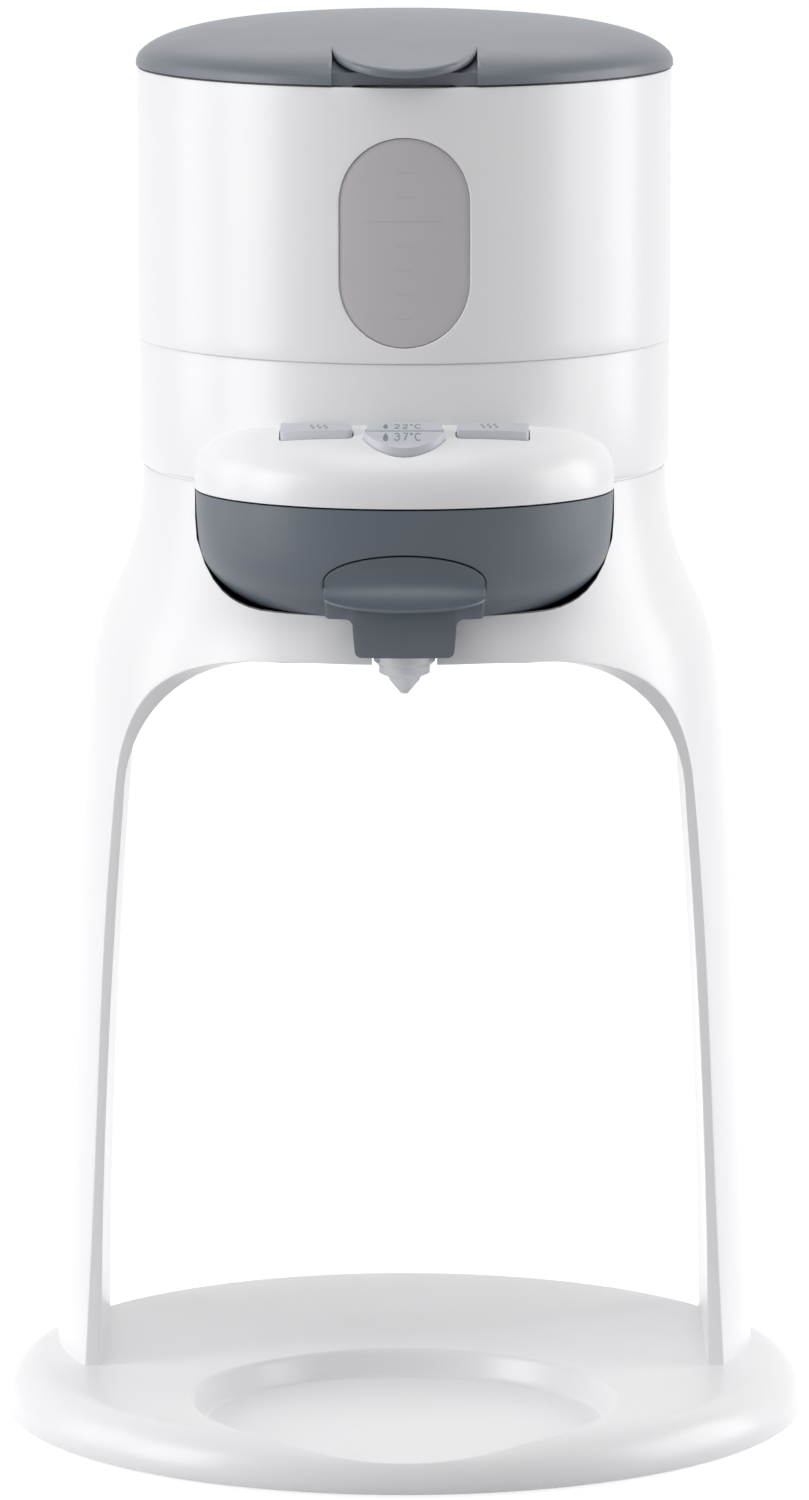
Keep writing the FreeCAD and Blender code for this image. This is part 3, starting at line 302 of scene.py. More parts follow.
def gridFaces(rows, columns, wrap=False, start=0):
    faces = []
    for row in range(rows - 1):
        for column in range(columns if wrap else columns - 1):
            after = (column + 1) % columns
            faces.append((start + row * columns + column, start + row * columns + after,
                          start + (row + 1) * columns + after, start + (row + 1) * columns + column))
    return faces


def meshFrom(name, verts, faces, weld=1e-4):
    # merged, closed mesh with its faces outwards; degenerate faces at poles are dropped
    mesh = bpy.data.meshes.new(name)
    shape = bmesh.new()
    made = [shape.verts.new(v) for v in verts]
    for face in faces:
        if len(set(face)) > 2:
            shape.faces.new([made[k] for k in face])
    bmesh.ops.remove_doubles(shape, verts=shape.verts, dist=weld)
    bmesh.ops.dissolve_degenerate(shape, dist=weld, edges=shape.edges)
    bmesh.ops.delete(shape, geom=[e for e in shape.edges if not e.link_faces], context="EDGES")
    bmesh.ops.delete(shape, geom=[v for v in shape.verts if not v.link_faces], context="VERTS")
    bmesh.ops.recalc_face_normals(shape, faces=shape.faces)
    shape.to_mesh(mesh)
    shape.free()
    return mesh


def shapeObject(name, mesh):
    piece = bpy.data.objects.new(name, mesh)
    bpy.context.scene.collection.objects.link(piece)
    return piece


def shapeFrom(name, verts, faces, weld=1e-4):
    return shapeObject(name, meshFrom(name, verts, faces, weld))


def turned(name, outline, axisY, turns=160):
    return shapeFrom(name, *lathed(outline, axisY, turns))


def settled(piece):
    # the piece with its modifiers made real, as a plain mesh
    depsgraph = bpy.context.evaluated_depsgraph_get()
    mesh = bpy.data.meshes.new_from_object(piece.evaluated_get(depsgraph))
    piece.modifiers.clear()
    piece.data = mesh
    return piece


def thickened(piece, wall):
    # a skin grown inwards to its wall
    shell = piece.modifiers.new("shell", "SOLIDIFY")
    shell.thickness = wall
    shell.offset = -1
    return settled(piece)


def carve(piece, cutters, operation="DIFFERENCE"):
    for cutter in cutters:
        modifier = piece.modifiers.new("carve", "BOOLEAN")
        modifier.object = cutter
        modifier.operation = operation
        modifier.solver = "EXACT"
    settled(piece)
    for cutter in cutters:
        bpy.data.objects.remove(cutter)
    return piece


def stacked(name, loops):
    # closed loops of equal count, joined side by side and closed at both ends
    count = len(loops[0])
    verts = [spot for loop in loops for spot in loop]
    faces = gridFaces(len(loops), count, True)
    faces += [tuple(range(count)), tuple(range(len(verts) - count, len(verts)))]
    return shapeFrom(name, verts, faces)


def prism(name, outline, low, high, axis="Z"):
    # closed outline drawn along one axis from low to high
    placed = {"X": lambda a, b, h: (h, a, b),
              "Y": lambda a, b, h: (a, h, b),
              "Z": lambda a, b, h: (a, b, h)}[axis]
    return stacked(name, [[placed(a, b, h) for a, b in outline] for h in (low, high)])


def block(name, low, high):
    return prism(name, [(low[0], low[1]), (high[0], low[1]), (high[0], high[1]), (low[0], high[1])],
                 low[2], high[2])


def roundLine(x, y, radiusX, radiusY, steps=64, start=0.0, sweep=2 * math.pi):
    # points of an oval or a part of one
    whole = abs(sweep - 2 * math.pi) < 1e-6
    turns = [start + sweep * k / steps for k in range(steps if whole else steps + 1)]
    return [(x + radiusX * math.cos(t), y + radiusY * math.sin(t)) for t in turns]


def mirrored(half):
    # outline whose right half is given from top to bottom
    return half + [(-x, z) for x, z in reversed(half)]


def joined(name, pieces):
    # several closed shapes held in one piece
    shape = bmesh.new()
    for piece in pieces:
        shape.from_mesh(piece.data)
        bpy.data.objects.remove(piece)
    mesh = bpy.data.meshes.new(name)
    shape.to_mesh(mesh)
    shape.free()
    return shapeObject(name, mesh)


def repeated(name, places, template, material):
    # copies of one shape on a set of points by Geometry Nodes, then made real as one plain mesh
    tree = bpy.data.node_groups.new(name, "GeometryNodeTree")
    sockets = {}
    for label, kind in (("Points", "Geometry"), ("Shape", "Object"), ("Skin", "Material")):
        sockets[label] = tree.interface.new_socket(label, in_out="INPUT", socket_type="NodeSocket" + kind)
    tree.interface.new_socket("Result", in_out="OUTPUT", socket_type="NodeSocketGeometry")
    given = addNode(tree, "NodeGroupInput")
    shape = addNode(tree, "GeometryNodeObjectInfo", links={"Object": given.outputs["Shape"]})
    spots = addNode(tree, "GeometryNodeInstanceOnPoints",
                    links={"Points": given.outputs["Points"], "Instance": shape.outputs["Geometry"]})
    real = addNode(tree, "GeometryNodeRealizeInstances", links={"Geometry": spots.outputs["Instances"]})
    skin = addNode(tree, "GeometryNodeSetMaterial",
                   links={"Geometry": real.outputs["Geometry"], "Material": given.outputs["Skin"]})
    addNode(tree, "NodeGroupOutput", links={"Result": skin.outputs["Geometry"]})
    mesh = bpy.data.meshes.new(name)
    mesh.from_pydata(places, [], [])
    piece = shapeObject(name, mesh)
    modifier = piece.modifiers.new("repeat", "NODES")
    modifier.node_group = tree
    modifier[sockets["Shape"].identifier] = template
    modifier[sockets["Skin"].identifier] = materials[material]
    settled(piece)
    bpy.data.objects.remove(template)
    return piece


def softenEdges(piece, width, segments=3, degrees=35):
    # rounds every edge that is sharper than the angle
    bevel = piece.modifiers.new("soften", "BEVEL")
    bevel.width = width
    bevel.segments = segments
    bevel.limit_method = "ANGLE"
    bevel.angle_limit = math.radians(degrees)
    bevel.use_clamp_overlap = True
    return settled(piece)


def finishPiece(piece, material, body, replaced=(), creaseDegrees=32):
    # millimetres to metres, smooth faces with crisp creases, one material, and the body it rides on
    piece.data.transform(Matrix.Scale(mm, 4))
    piece.data.shade_smooth()
    piece.data.set_sharp_from_angle(angle=math.radians(creaseDegrees))
    if material:
        piece.data.materials.clear()
        piece.data.materials.append(materials[material])
    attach(piece, body)
    if replaced:
        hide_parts(*replaced)
    return piece


# Drum: collar under the tank

collarLow, collarHigh = boxMm("drum_collar")
axisY = (collarLow.y + collarHigh.y) / 2
drumRadius = (collarHigh.x - collarLow.x) / 2
collarLook = {"bottom": 240.0, "lowerRound": 1.2, "upperRound": 0.6, "wall": 2.4, "top": 271.92}
collarInner = drumRadius - collarLook["wall"]
collarOutline = roundedOutline(
    [(collarInner, collarLook["bottom"] - 4), (drumRadius - 1.6, collarLook["bottom"] - 4),
     (drumRadius - 1.6, collarLook["bottom"]), (drumRadius, collarLook["bottom"]),
     (drumRadius, collarLook["top"]), (collarInner, collarLook["top"])],
    [0, 0, 0, collarLook["lowerRound"], collarLook["upperRound"], 0.3])
collar = turned("collarBand", collarOutline, axisY, 192)
finishPiece(collar, "whiteAbs", "root", ["drum_collar"])
print("collar made")


# Tank sleeve: a wall round the drum with a pill-shaped window

sleeveLow, sleeveHigh = boxMm("tank_sleeve")
windowLow, windowHigh = boxMm("tank_window")
sleeveLook = {"wall": 2.4, "top": 339.75, "edgeRound": 0.7, "windowGap": 0.15, "patchMargin": 12,
              "patchColumns": 22, "patchRows": 18, "rings": 7, "columns": 150}
sleeveRadius = sleeveHigh.x


def pillPoint(width, height, share):
    # a place on a pill outline, by share of the way round from its lowest point, anticlockwise
    half = width / 2
    straight = height - width
    around = 2 * math.pi * half + 2 * straight
    way = share % 1.0 * around
    quarterTurn = math.pi * half / 2
    if way < quarterTurn:
        turn = way / half
        return half * math.sin(turn), -straight / 2 - half * math.cos(turn)
    way -= quarterTurn
    if way < straight:
        return half, way - straight / 2
    way -= straight
    if way < 2 * quarterTurn:
        turn = way / half
        return half * math.cos(turn), straight / 2 + half * math.sin(turn)
    way -= 2 * quarterTurn
    if way < straight:
        return -half, straight / 2 - way
    way -= straight
    turn = way / half
    return -half * math.cos(turn), -straight / 2 - half * math.sin(turn)


def windowedWall(look, radius, low, high, centreZ, width, height):
    # flat layout of the wall in (way round, height): a patch with the hole, then plain columns
    columns, rows = look["patchColumns"], look["patchRows"]
    half = width * 0.5 + look["patchMargin"]
    zs = [low + (high - low) * k / rows for k in range(rows + 1)]
    xs = [-half + 2 * half * k / columns for k in range(columns + 1)]
    mid = columns // 2
    rim = [(x, low) for x in xs[mid:]] + [(half, z) for z in zs[1:]]
    rim += [(x, high) for x in reversed(xs[:-1])] + [(-half, z) for z in reversed(zs[:-1])]
    rim += [(x, low) for x in xs[1:mid]]
    around = len(rim)
    # the share of the pill's outline that lies in the same direction as each place on the patch's rim
    steps = 720
    pillLine = [pillPoint(width, height, k / steps) for k in range(steps)]
    pillAngles = [math.atan2(x, -z) for x, z in pillLine]
    shares = []
    for x, z in rim:
        angle = math.atan2(x, -(z - centreZ))
        misses = [abs(math.remainder(pillAngle - angle, 2 * math.pi)) for pillAngle in pillAngles]
        shares.append(misses.index(min(misses)) / steps)
    layout = []
    for ring in range(look["rings"] + 1):
        t = (ring / look["rings"]) ** 1.5
        for (x, z), share in zip(rim, shares):
            px, pz = pillPoint(width, height, share)
            layout.append((px + (x - px) * t, centreZ + pz + (z - centreZ - pz) * t))
    faces = gridFaces(look["rings"] + 1, around, True)
    start = len(layout)
    whole = 2 * math.pi * radius
    plain = look["columns"]
    for z in zs:
        for k in range(plain + 1):
            layout.append((half + (whole - 2 * half) * k / plain, z))
    faces += gridFaces(rows + 1, plain + 1, False, start)
    return layout, faces


def wrapped(layout, radius, centreY):
    return [(radius * math.sin(s / radius), centreY - radius * math.cos(s / radius), z) for s, z in layout]


windowCentreZ = (windowLow.z + windowHigh.z) / 2
windowWidth = windowHigh.x - windowLow.x + 2 * sleeveLook["windowGap"]
windowHeight = windowHigh.z - windowLow.z + 2 * sleeveLook["windowGap"]
layout, faces = windowedWall(sleeveLook, sleeveRadius, sleeveLow.z, sleeveLook["top"], windowCentreZ,
                             windowWidth, windowHeight)
tube = shapeFrom("tankSleeve", wrapped(layout, sleeveRadius, axisY), faces, 0.02)
firstFace = tube.data.polygons[0]
if (Vector(firstFace.center) - Vector((0, axisY, firstFace.center[2]))).dot(firstFace.normal) < 0:
    tube.data.flip_normals()
thickened(tube, sleeveLook["wall"])
softenEdges(tube, sleeveLook["edgeRound"])

# two ears behind the sleeve, which hold the hinge pin
pinLow, pinHigh = boxMm("hinge_pin")
hingeY, hingeZ = (pinLow.y + pinHigh.y) / 2, (pinLow.z + pinHigh.z) / 2
earLook = {"width": 5.0, "radius": 2.75, "footZ": 332.0, "inset": 1.4, "round": 0.5, "backDrop": 8.0,
           "footBack": 0.4, "neckFront": 1.2, "neckDrop": 4.8, "rootDrop": 4.9}
earRoot = sleeveRadius + axisY - earLook["inset"]
earOutline = [(earRoot, earLook["footZ"]), (hingeY - earLook["footBack"], earLook["footZ"]),
              (hingeY + earLook["radius"], hingeZ - earLook["backDrop"])]
earOutline += roundLine(hingeY, hingeZ, earLook["radius"], earLook["radius"], 20, 0.0, math.pi)
earOutline += [(hingeY - earLook["neckFront"], hingeZ - earLook["neckDrop"]),
               (earRoot, hingeZ - earLook["rootDrop"])]
ears = []
for side in (-1, 1):
    outer = side * pinHigh.x
    ear = prism("ear", earOutline, min(outer, outer - side * earLook["width"]),
                max(outer, outer - side * earLook["width"]), "X")
    ears.append(softenEdges(ear, earLook["round"], 2, 50))
sleeve = joined("tankSleeve", [tube] + ears)
finishPiece(sleeve, "whiteAbs", "tank", ["tank_sleeve"])
print("sleeve made")


# Window pane, set in from the sleeve's face

paneLook = {"inset": 0.5, "thick": 1.6, "edgeRound": 0.3, "rings": 8, "around": 96}
paneLayout = []
for ring in range(paneLook["rings"] + 1):
    t = ring / paneLook["rings"]
    for k in range(paneLook["around"]):
        px, pz = pillPoint(windowHigh.x - windowLow.x, windowHigh.z - windowLow.z, k / paneLook["around"])
        paneLayout.append((px * t, windowCentreZ + pz * t))
paneFaces = gridFaces(paneLook["rings"] + 1, paneLook["around"], True)
paneRadius = sleeveRadius - paneLook["inset"]
pane = shapeFrom("windowPane", wrapped(paneLayout, paneRadius, axisY), paneFaces, 1e-3)
if pane.data.polygons[10].normal.y > 0:
    pane.data.flip_normals()
thickened(pane, paneLook["thick"])
softenEdges(pane, paneLook["edgeRound"], 2)
finishPiece(pane, "windowSmoke", "tank", ["tank_window"])
print("window made")


# Base: a shallow disc with a round recess for the bottle that runs out over its front edge

baseLow, baseHigh = boxMm("base_plate")
baseLook = {"edgeRound": 10.0, "recessY": -49.0, "recessFloor": 50.0, "recessRim": 53.0, "floorZ": 6.8,
            "rimRound": 1.8, "blend": 0.5, "around": 224, "floorRings": 7, "wallRings": 16, "topRings": 30,
            "footRound": 0.8, "coverTop": 3.4, "coverRadius": 98.9, "coverGap": 0.2, "floorFillet": 1.0,
            "floorShare": 0.985, "flatShare": 0.15, "step": 0.02}
baseRadius = baseHigh.x
baseTop = baseHigh.z


def baseHeight(radius):
    flat = baseRadius - baseLook["edgeRound"]
    if radius <= flat:
        return baseTop
    over = min(radius - flat, baseLook["edgeRound"])
    return baseTop - baseLook["edgeRound"] + math.sqrt(baseLook["edgeRound"] ** 2 - over ** 2)


recessSlope = (baseTop - baseLook["floorZ"]) / (baseLook["recessRim"] - baseLook["recessFloor"])
rimReach = baseLook["rimRound"] / math.tan((math.pi - math.atan(recessSlope)) / 2)
rimEnd = baseLook["recessRim"] + rimReach
rimStart = baseLook["recessRim"] - rimReach * math.cos(math.atan(recessSlope))


def recessHeight(reach):
    # floor, short fillet, sloping wall and rolled rim of the recess
    fillet = baseLook["floorFillet"]
    if reach >= rimEnd:
        return baseTop + (reach - rimEnd) * 1e-6
    if reach > rimStart:
        over = rimEnd - reach
        return baseTop - baseLook["rimRound"] + math.sqrt(max(0, baseLook["rimRound"] ** 2 - over ** 2))
    wall = baseTop - recessSlope * (baseLook["recessRim"] - reach)
    floorZ = baseLook["floorZ"]
    gap = wall - floorZ
    if gap > fillet:
        return wall
    if gap < -fillet:
        return floorZ
    return floorZ + (gap + fillet) ** 2 / (4 * fillet)


def surfaceHeight(x, y):
    radius = math.hypot(x, y)
    reach = math.hypot(x, y - baseLook["recessY"])
    rim, dish = baseHeight(radius), recessHeight(reach)
    blend = baseLook["blend"] if radius > baseRadius - baseLook["edgeRound"] else 0.0
    if blend and abs(rim - dish) < blend:
        return min(rim, dish) - (blend - abs(rim - dish)) ** 2 / (4 * blend)
    return min(rim, dish)


def crossing(angle):
    # where the recess wall meets the base's own surface, along one direction
    reach = baseLook["recessFloor"]
    while reach < rimEnd:
        x, y = reach * math.cos(angle), baseLook["recessY"] + reach * math.sin(angle)
        if recessHeight(reach) >= baseHeight(math.hypot(x, y)):
            return reach
        reach += baseLook["step"]
    return rimEnd


def reachTo(angle, radius):
    # distance from the recess centre to the base's circle of that radius, along one direction
    along = baseLook["recessY"] * math.sin(angle)
    return -along + math.sqrt(along ** 2 - baseLook["recessY"] ** 2 + radius ** 2)


baseVerts, baseFaces = [], []
floorEdge = baseLook["recessFloor"] * baseLook["floorShare"]
flatRadius = baseRadius - baseLook["edgeRound"]
# from the outer edge under the base to the middle of its cover
footLine = [(baseRadius, baseLow.z + baseLook["footRound"]), (baseRadius - 0.25, baseLow.z + 0.25),
            (baseRadius - baseLook["footRound"], baseLow.z),
            (baseLook["coverRadius"] + baseLook["coverGap"], baseLow.z),
            (baseLook["coverRadius"], baseLook["coverTop"]), (0.0, baseLook["coverTop"])]
for k in range(baseLook["around"]):
    angle = 2 * math.pi * k / baseLook["around"]
    meet = crossing(angle)
    reaches = [floorEdge * j / baseLook["floorRings"] for j in range(baseLook["floorRings"])]
    reaches += [floorEdge + (meet - floorEdge) * j / baseLook["wallRings"]
                for j in range(baseLook["wallRings"] + 1)]
    meetRadius = math.hypot(meet * math.cos(angle), baseLook["recessY"] + meet * math.sin(angle))
    flatRun = max(0.0, flatRadius - meetRadius) * baseLook["flatShare"]
    startTurn = math.asin(max(0.0, meetRadius - flatRadius) / baseLook["edgeRound"])
    roundRun = baseLook["edgeRound"] * (math.pi / 2 - startTurn)
    for j in range(1, baseLook["topRings"] + 1):
        way = (flatRun + roundRun) * j / baseLook["topRings"]
        if way < flatRun:
            radius = meetRadius + way / baseLook["flatShare"]
        else:
            turn = startTurn + (way - flatRun) / baseLook["edgeRound"]
            radius = flatRadius + baseLook["edgeRound"] * math.sin(turn)
        reaches.append(reachTo(angle, min(radius, baseRadius)))
    column = [(reach * math.cos(angle), baseLook["recessY"] + reach * math.sin(angle)) for reach in reaches]
    points = [(x, y, surfaceHeight(x, y)) for x, y in column]
    edgeX, edgeY = column[-1]
    for radius, height in footLine:
        points.append((edgeX * radius / baseRadius, edgeY * radius / baseRadius, height))
    baseVerts += points
rowCount = len(baseVerts) // baseLook["around"]
for k in range(baseLook["around"]):
    after = (k + 1) % baseLook["around"]
    for j in range(rowCount - 1):
        here, there = k * rowCount + j, after * rowCount + j
        baseFaces.append((here, here + 1, there + 1, there))
base = shapeFrom("baseDish", baseVerts, baseFaces, 2e-3)
finishPiece(base, "whiteAbs", "root", ["base_plate"], 40)
print("base made")


# Arch: bell-shaped housing on two legs, one skin with its tunnel and its rolled front and back edges

archLook = {
    "bellLine": [(65.9, 239.4), (67.0, 227.0), (69.7, 216.0), (76.2, 201.0), (79.9, 181.0), (84.2, 125.0),
                 (86.9, 60.0), (89.5, 6.0)], "bellSteps": 400,
    "tunnelTop": 198.8, "cornerRadius": 40.0, "cornerX": 30.4, "footHalf": 76.9, "footZ": -1.0,
    "midHalf": 74.9, "midZ": 87.0, "legHalfDepth": 37.4, "chinRound": 36.0, "wall": 2.4, "edgeRound": 1.1,
    "legRows": 26, "chinRows": 16, "legColumns": 14, "crownColumns": 10, "skinRows": 26, "bandColumns": 3,
    "insideRows": 12,
}
bellSamples = smoothThrough(archLook["bellLine"], archLook["bellSteps"])
bellTop = archLook["bellLine"][0][1]
tunnelTop = archLook["tunnelTop"]
legBottom = archLook["bellLine"][-1][1]
trimStart = tunnelTop - archLook["chinRound"]


def bellRadius(z):
    for (r0, z0), (r1, z1) in zip(bellSamples, bellSamples[1:]):
        if z1 <= z <= z0:
            return r0 + (r1 - r0) * (z0 - z) / max(1e-9, z0 - z1)
    return bellSamples[0][0] if z > bellSamples[0][1] else bellSamples[-1][0]


def circleThrough(a, b, c):
    # centre and radius of the circle through three points
    d = 2 * (a[0] * (b[1] - c[1]) + b[0] * (c[1] - a[1]) + c[0] * (a[1] - b[1]))
    sa, sb, sc = (p[0] ** 2 + p[1] ** 2 for p in (a, b, c))
    x = (sa * (b[1] - c[1]) + sb * (c[1] - a[1]) + sc * (a[1] - b[1])) / d
    y = (sa * (c[0] - b[0]) + sb * (a[0] - c[0]) + sc * (b[0] - a[0])) / d
    return x, y, math.dist((x, y), a)


cornerZ = tunnelTop - archLook["cornerRadius"]
cornerSide = archLook["cornerX"] + archLook["cornerRadius"]
legArc = circleThrough((archLook["footHalf"], archLook["footZ"]), (archLook["midHalf"], archLook["midZ"]),
                       (cornerSide, cornerZ))
legArcSide = 1 if legArc[0] < cornerSide else -1


def tunnelHalf(z):
    if z >= cornerZ:
        return archLook["cornerX"] + math.sqrt(max(0, archLook["cornerRadius"] ** 2 - (z - cornerZ) ** 2))
    return legArc[0] + legArcSide * math.sqrt(legArc[2] ** 2 - (z - legArc[1]) ** 2)


def legDepth(z):
    if z <= trimStart:
        return archLook["legHalfDepth"]
    rise = min(z - trimStart, archLook["chinRound"])
    chin = archLook["chinRound"]
    return archLook["legHalfDepth"] + chin - math.sqrt(chin ** 2 - rise ** 2)


# heights of the rows up the legs, then up the chin's curve to the tunnel's top
legRows = [legBottom + (trimStart - legBottom) * k / archLook["legRows"] for k in range(archLook["legRows"])]
chinRows = [trimStart + archLook["chinRound"] * math.sin(math.pi / 2 * k / archLook["chinRows"])
            for k in range(archLook["chinRows"] + 1)]
edgeRows = legRows + chinRows


def skinPoint(angle, z):
    # angle from the front; the quarter is built for x > 0 and y in front of the axis
    radius = bellRadius(z)
    return (radius * math.sin(angle), -radius * math.cos(angle), z)


archVerts, archFaces = [], []


def addGrid(points):
    start = len(archVerts)
    for row in points:
        archVerts.extend(row)
    archFaces.extend(gridFaces(len(points), len(points[0]), False, start))


crown = archLook["crownColumns"]
topRadius = bellRadius(tunnelTop)
crownAngle = math.acos(legDepth(tunnelTop) / topRadius)
skinRowsAbove = archLook["skinRows"]
# skin of the leg, from its front edge to its middle
legSkin = []
for z in legRows + [trimStart + (bellTop - trimStart) * j / skinRowsAbove for j in range(skinRowsAbove + 1)]:
    frontEdge = math.acos(archLook["legHalfDepth"] / bellRadius(min(z, trimStart)))
    legSkin.append([skinPoint(frontEdge + (math.pi / 2 - frontEdge) * k / archLook["legColumns"], z)
                    for k in range(archLook["legColumns"] + 1)])
addGrid(legSkin)
# skin in front of the leg: each column stands on the chin's edge
frontColumns = [(crownAngle * k / crown, tunnelTop) for k in range(crown)]
frontColumns += [(math.acos(legDepth(z) / bellRadius(z)), z) for z in reversed(chinRows[1:])]
frontColumns.append((math.acos(archLook["legHalfDepth"] / bellRadius(trimStart)), trimStart))
frontSkin = []
for j in range(skinRowsAbove + 1):
    frontSkin.append([skinPoint(angle, z + (bellTop - z) * j / skinRowsAbove) for angle, z in frontColumns])
addGrid(frontSkin)
# face of the leg and the chin, between the tunnel's edge and the skin's edge
band = []
for z in edgeRows:
    depth = legDepth(z)
    inner, outer = tunnelHalf(z), math.sqrt(max(0, bellRadius(z) ** 2 - depth ** 2))
    band.append([(inner + (outer - inner) * k / archLook["bandColumns"], -depth, z)
                 for k in range(archLook["bandColumns"] + 1)])
addGrid(band)
# tunnel wall, from its front edge to the middle of the leg
depthColumns = archLook["legColumns"]
addGrid([[(tunnelHalf(z), -legDepth(z) * (1 - k / depthColumns), z) for k in range(depthColumns + 1)]
         for z in edgeRows])
# flat top of the tunnel
crownX = [math.sin(crownAngle * k / crown) * topRadius for k in range(crown + 1)]
deckEdge = [(x, -math.sqrt(topRadius ** 2 - x ** 2)) for x in crownX]
deckEdge += [(p[0], p[1]) for p in reversed(band[-1][:-1])]
addGrid([[(x, y * (1 - k / depthColumns), tunnelTop) for x, y in deckEdge] for k in range(depthColumns + 1)])
# rim of the neck and the inside wall above the deck
ringAngles = [angle for angle, z in frontColumns]
frontEdge = ringAngles[-1]
ringAngles += [frontEdge + (math.pi / 2 - frontEdge) * k / archLook["legColumns"]
               for k in range(1, archLook["legColumns"] + 1)]
deckTop = tunnelTop + archLook["wall"]
innerRows = [[skinPoint(angle, bellTop) for angle in ringAngles]]
for k in range(archLook["insideRows"] + 1):
    z = bellTop - (bellTop - deckTop) * k / archLook["insideRows"]
    inside = bellRadius(z) - archLook["wall"]
    innerRows.append([(inside * math.sin(angle), -inside * math.cos(angle), z) for angle in ringAngles])
lastRow = innerRows[-1]
innerRows += [[(x * share, y * share, deckTop) for x, y, z in lastRow] for share in (0.6, 0.25, 0.0)]
addGrid(innerRows)
# foot of the leg, inside the base
footRows = []
for k, (outerX, outerY, z) in enumerate(legSkin[0]):
    innerX, innerY = tunnelHalf(legBottom), -legDepth(legBottom) * (1 - k / archLook["legColumns"])
    footRows.append([(innerX + (outerX - innerX) * j / archLook["bandColumns"],
                      innerY + (outerY - innerY) * j / archLook["bandColumns"], legBottom)
                     for j in range(archLook["bandColumns"] + 1)])
addGrid(footRows)

wholeVerts, wholeFaces = [], []
for mirrorX in (1, -1):
    for mirrorY in (1, -1):
        start = len(wholeVerts)
        wholeVerts += [(x * mirrorX, axisY + y * mirrorY, z) for x, y, z in archVerts]
        wholeFaces += [tuple(start + k for k in face) for face in archFaces]
arch = shapeFrom("archHousing", wholeVerts, wholeFaces, 0.004)
softenEdges(arch, archLook["edgeRound"], 3, 38)


# Openings in the arch: the drawer's, the slot that the spout slides in, and the rear cover's

hoodHalf = boxMm("control_hood")[1].x
drawerLook = {
    # how far in from the hood's plan at the sides, how far in front, and the height
    "skin": [(0.2, 0.2, 238.0), (0.4, 0.5, 230.5), (0.8, 1.0, 225.0), (1.8, 2.3, 219.4), (4.4, 4.6, 214.9),
             (7.8, 7.6, 211.9), (12.0, 10.6, 209.9), (18.5, 14.0, 208.8)],
    # half of the opening in the arch, seen from the front
    "opening": [(52.15, 247.0), (52.15, 231.0), (51.7, 225.5), (49.6, 219.8), (47.5, 216.4), (45.2, 214.0),
                (43.0, 212.5), (41.0, 211.6), (38.5, 210.8), (35.5, 210.3), (32.0, 210.1), (28.0, 210.0)],
    "halfDepth": 43.0, "centreY": -20.0, "backY": 4.0, "wall": 2.6, "clear": 0.3, "faceClear": 0.35,
    "flangeZ": 235.4, "shelfInset": 1.6, "shelfBack": 1.2, "recessBack": 1.5, "spoutY": -49.0,
    "spoutHole": 7.75,
}
slotLook = {"half": 8.0, "endY": -43.2, "top": 211.0}
rearLook = {"half": 30.0, "low": 206.0, "high": 230.0, "gap": 0.3, "inset": 0.02, "edgeRound": 0.25,
            "columns": 40, "rows": 12, "vents": 7, "ventWidth": 2.4, "ventHeight": 7.5, "ventCorner": 0.9,
            "ventPitch": 6.0, "ventTop": 227.5, "screwX": 25.5, "screwWell": 3.3, "glandZ": 213.5,
            "glandHole": 4.4}
slotOutline = [(-slotLook["half"], -120), (slotLook["half"], -120)]
slotOutline += roundLine(0, slotLook["endY"], slotLook["half"], slotLook["half"], 25, 0, math.pi)
carve(arch, [
    prism("drawerOpening", mirrored(drawerLook["opening"]), -120, drawerLook["backY"] + 1, "Y"),
    prism("spoutSlot", slotOutline, 150, slotLook["top"]),
    block("rearOpening", (-rearLook["half"], axisY, rearLook["low"]),
          (rearLook["half"], 150, rearLook["high"])),
])
finishPiece(arch, "whiteAbs", "root", ["arch_shell", "arch_lining"], 40)
print("arch made")


# Rear cover: a curved panel with a row of vents, the cord's gland and two screws

def bellBack(x, z, inset):
    return axisY + math.sqrt((bellRadius(z) - inset) ** 2 - x ** 2)


coverHalf = rearLook["half"] - rearLook["gap"]
coverHeight = rearLook["high"] - rearLook["low"] - 2 * rearLook["gap"]
coverRows = [rearLook["low"] + rearLook["gap"] + coverHeight * k / rearLook["rows"]
             for k in range(rearLook["rows"] + 1)]
coverLoops = []
for k in range(rearLook["columns"] + 1):
    x = -coverHalf + 2 * coverHalf * k / rearLook["columns"]
    outside = [(x, bellBack(x, z, rearLook["inset"]), z) for z in coverRows]
    inside = [(x, bellBack(x, z, archLook["wall"]), z) for z in reversed(coverRows)]
    coverLoops.append(outside + inside)
rearPanel = stacked("rearPanel", coverLoops)
ventHalf, ventHeight = rearLook["ventWidth"] / 2, rearLook["ventHeight"]
ventOutline = roundedOutline([(-ventHalf, 0), (ventHalf, 0), (ventHalf, ventHeight), (-ventHalf, ventHeight)],
                             [rearLook["ventCorner"]] * 4)
ventPlaces = [((k - (rearLook["vents"] - 1) / 2) * rearLook["ventPitch"], 0, rearLook["ventTop"] - ventHeight)
              for k in range(rearLook["vents"])]
vent = prism("vent", ventOutline, axisY + 50, axisY + 90, "Y")
ventCutter = repeated("vents", ventPlaces, vent, "whiteAbs")
screwZ = (rearLook["low"] + rearLook["high"]) / 2
screwY = boxMm("rear_screws")[1].y
glandHole, screwWell = rearLook["glandHole"], rearLook["screwWell"]
glandLine = roundLine(0, rearLook["glandZ"], glandHole, glandHole, 40)
holes = [ventCutter, prism("glandHole", glandLine, axisY, 150, "Y")]
for side in (-1, 1):
    wellLine = roundLine(side * rearLook["screwX"], screwZ, screwWell, screwWell, 32)
    holes.append(prism("screwWell", wellLine, screwY - 2, 150, "Y"))
carve(rearPanel, holes)
softenEdges(rearPanel, rearLook["edgeRound"], 2, 50)
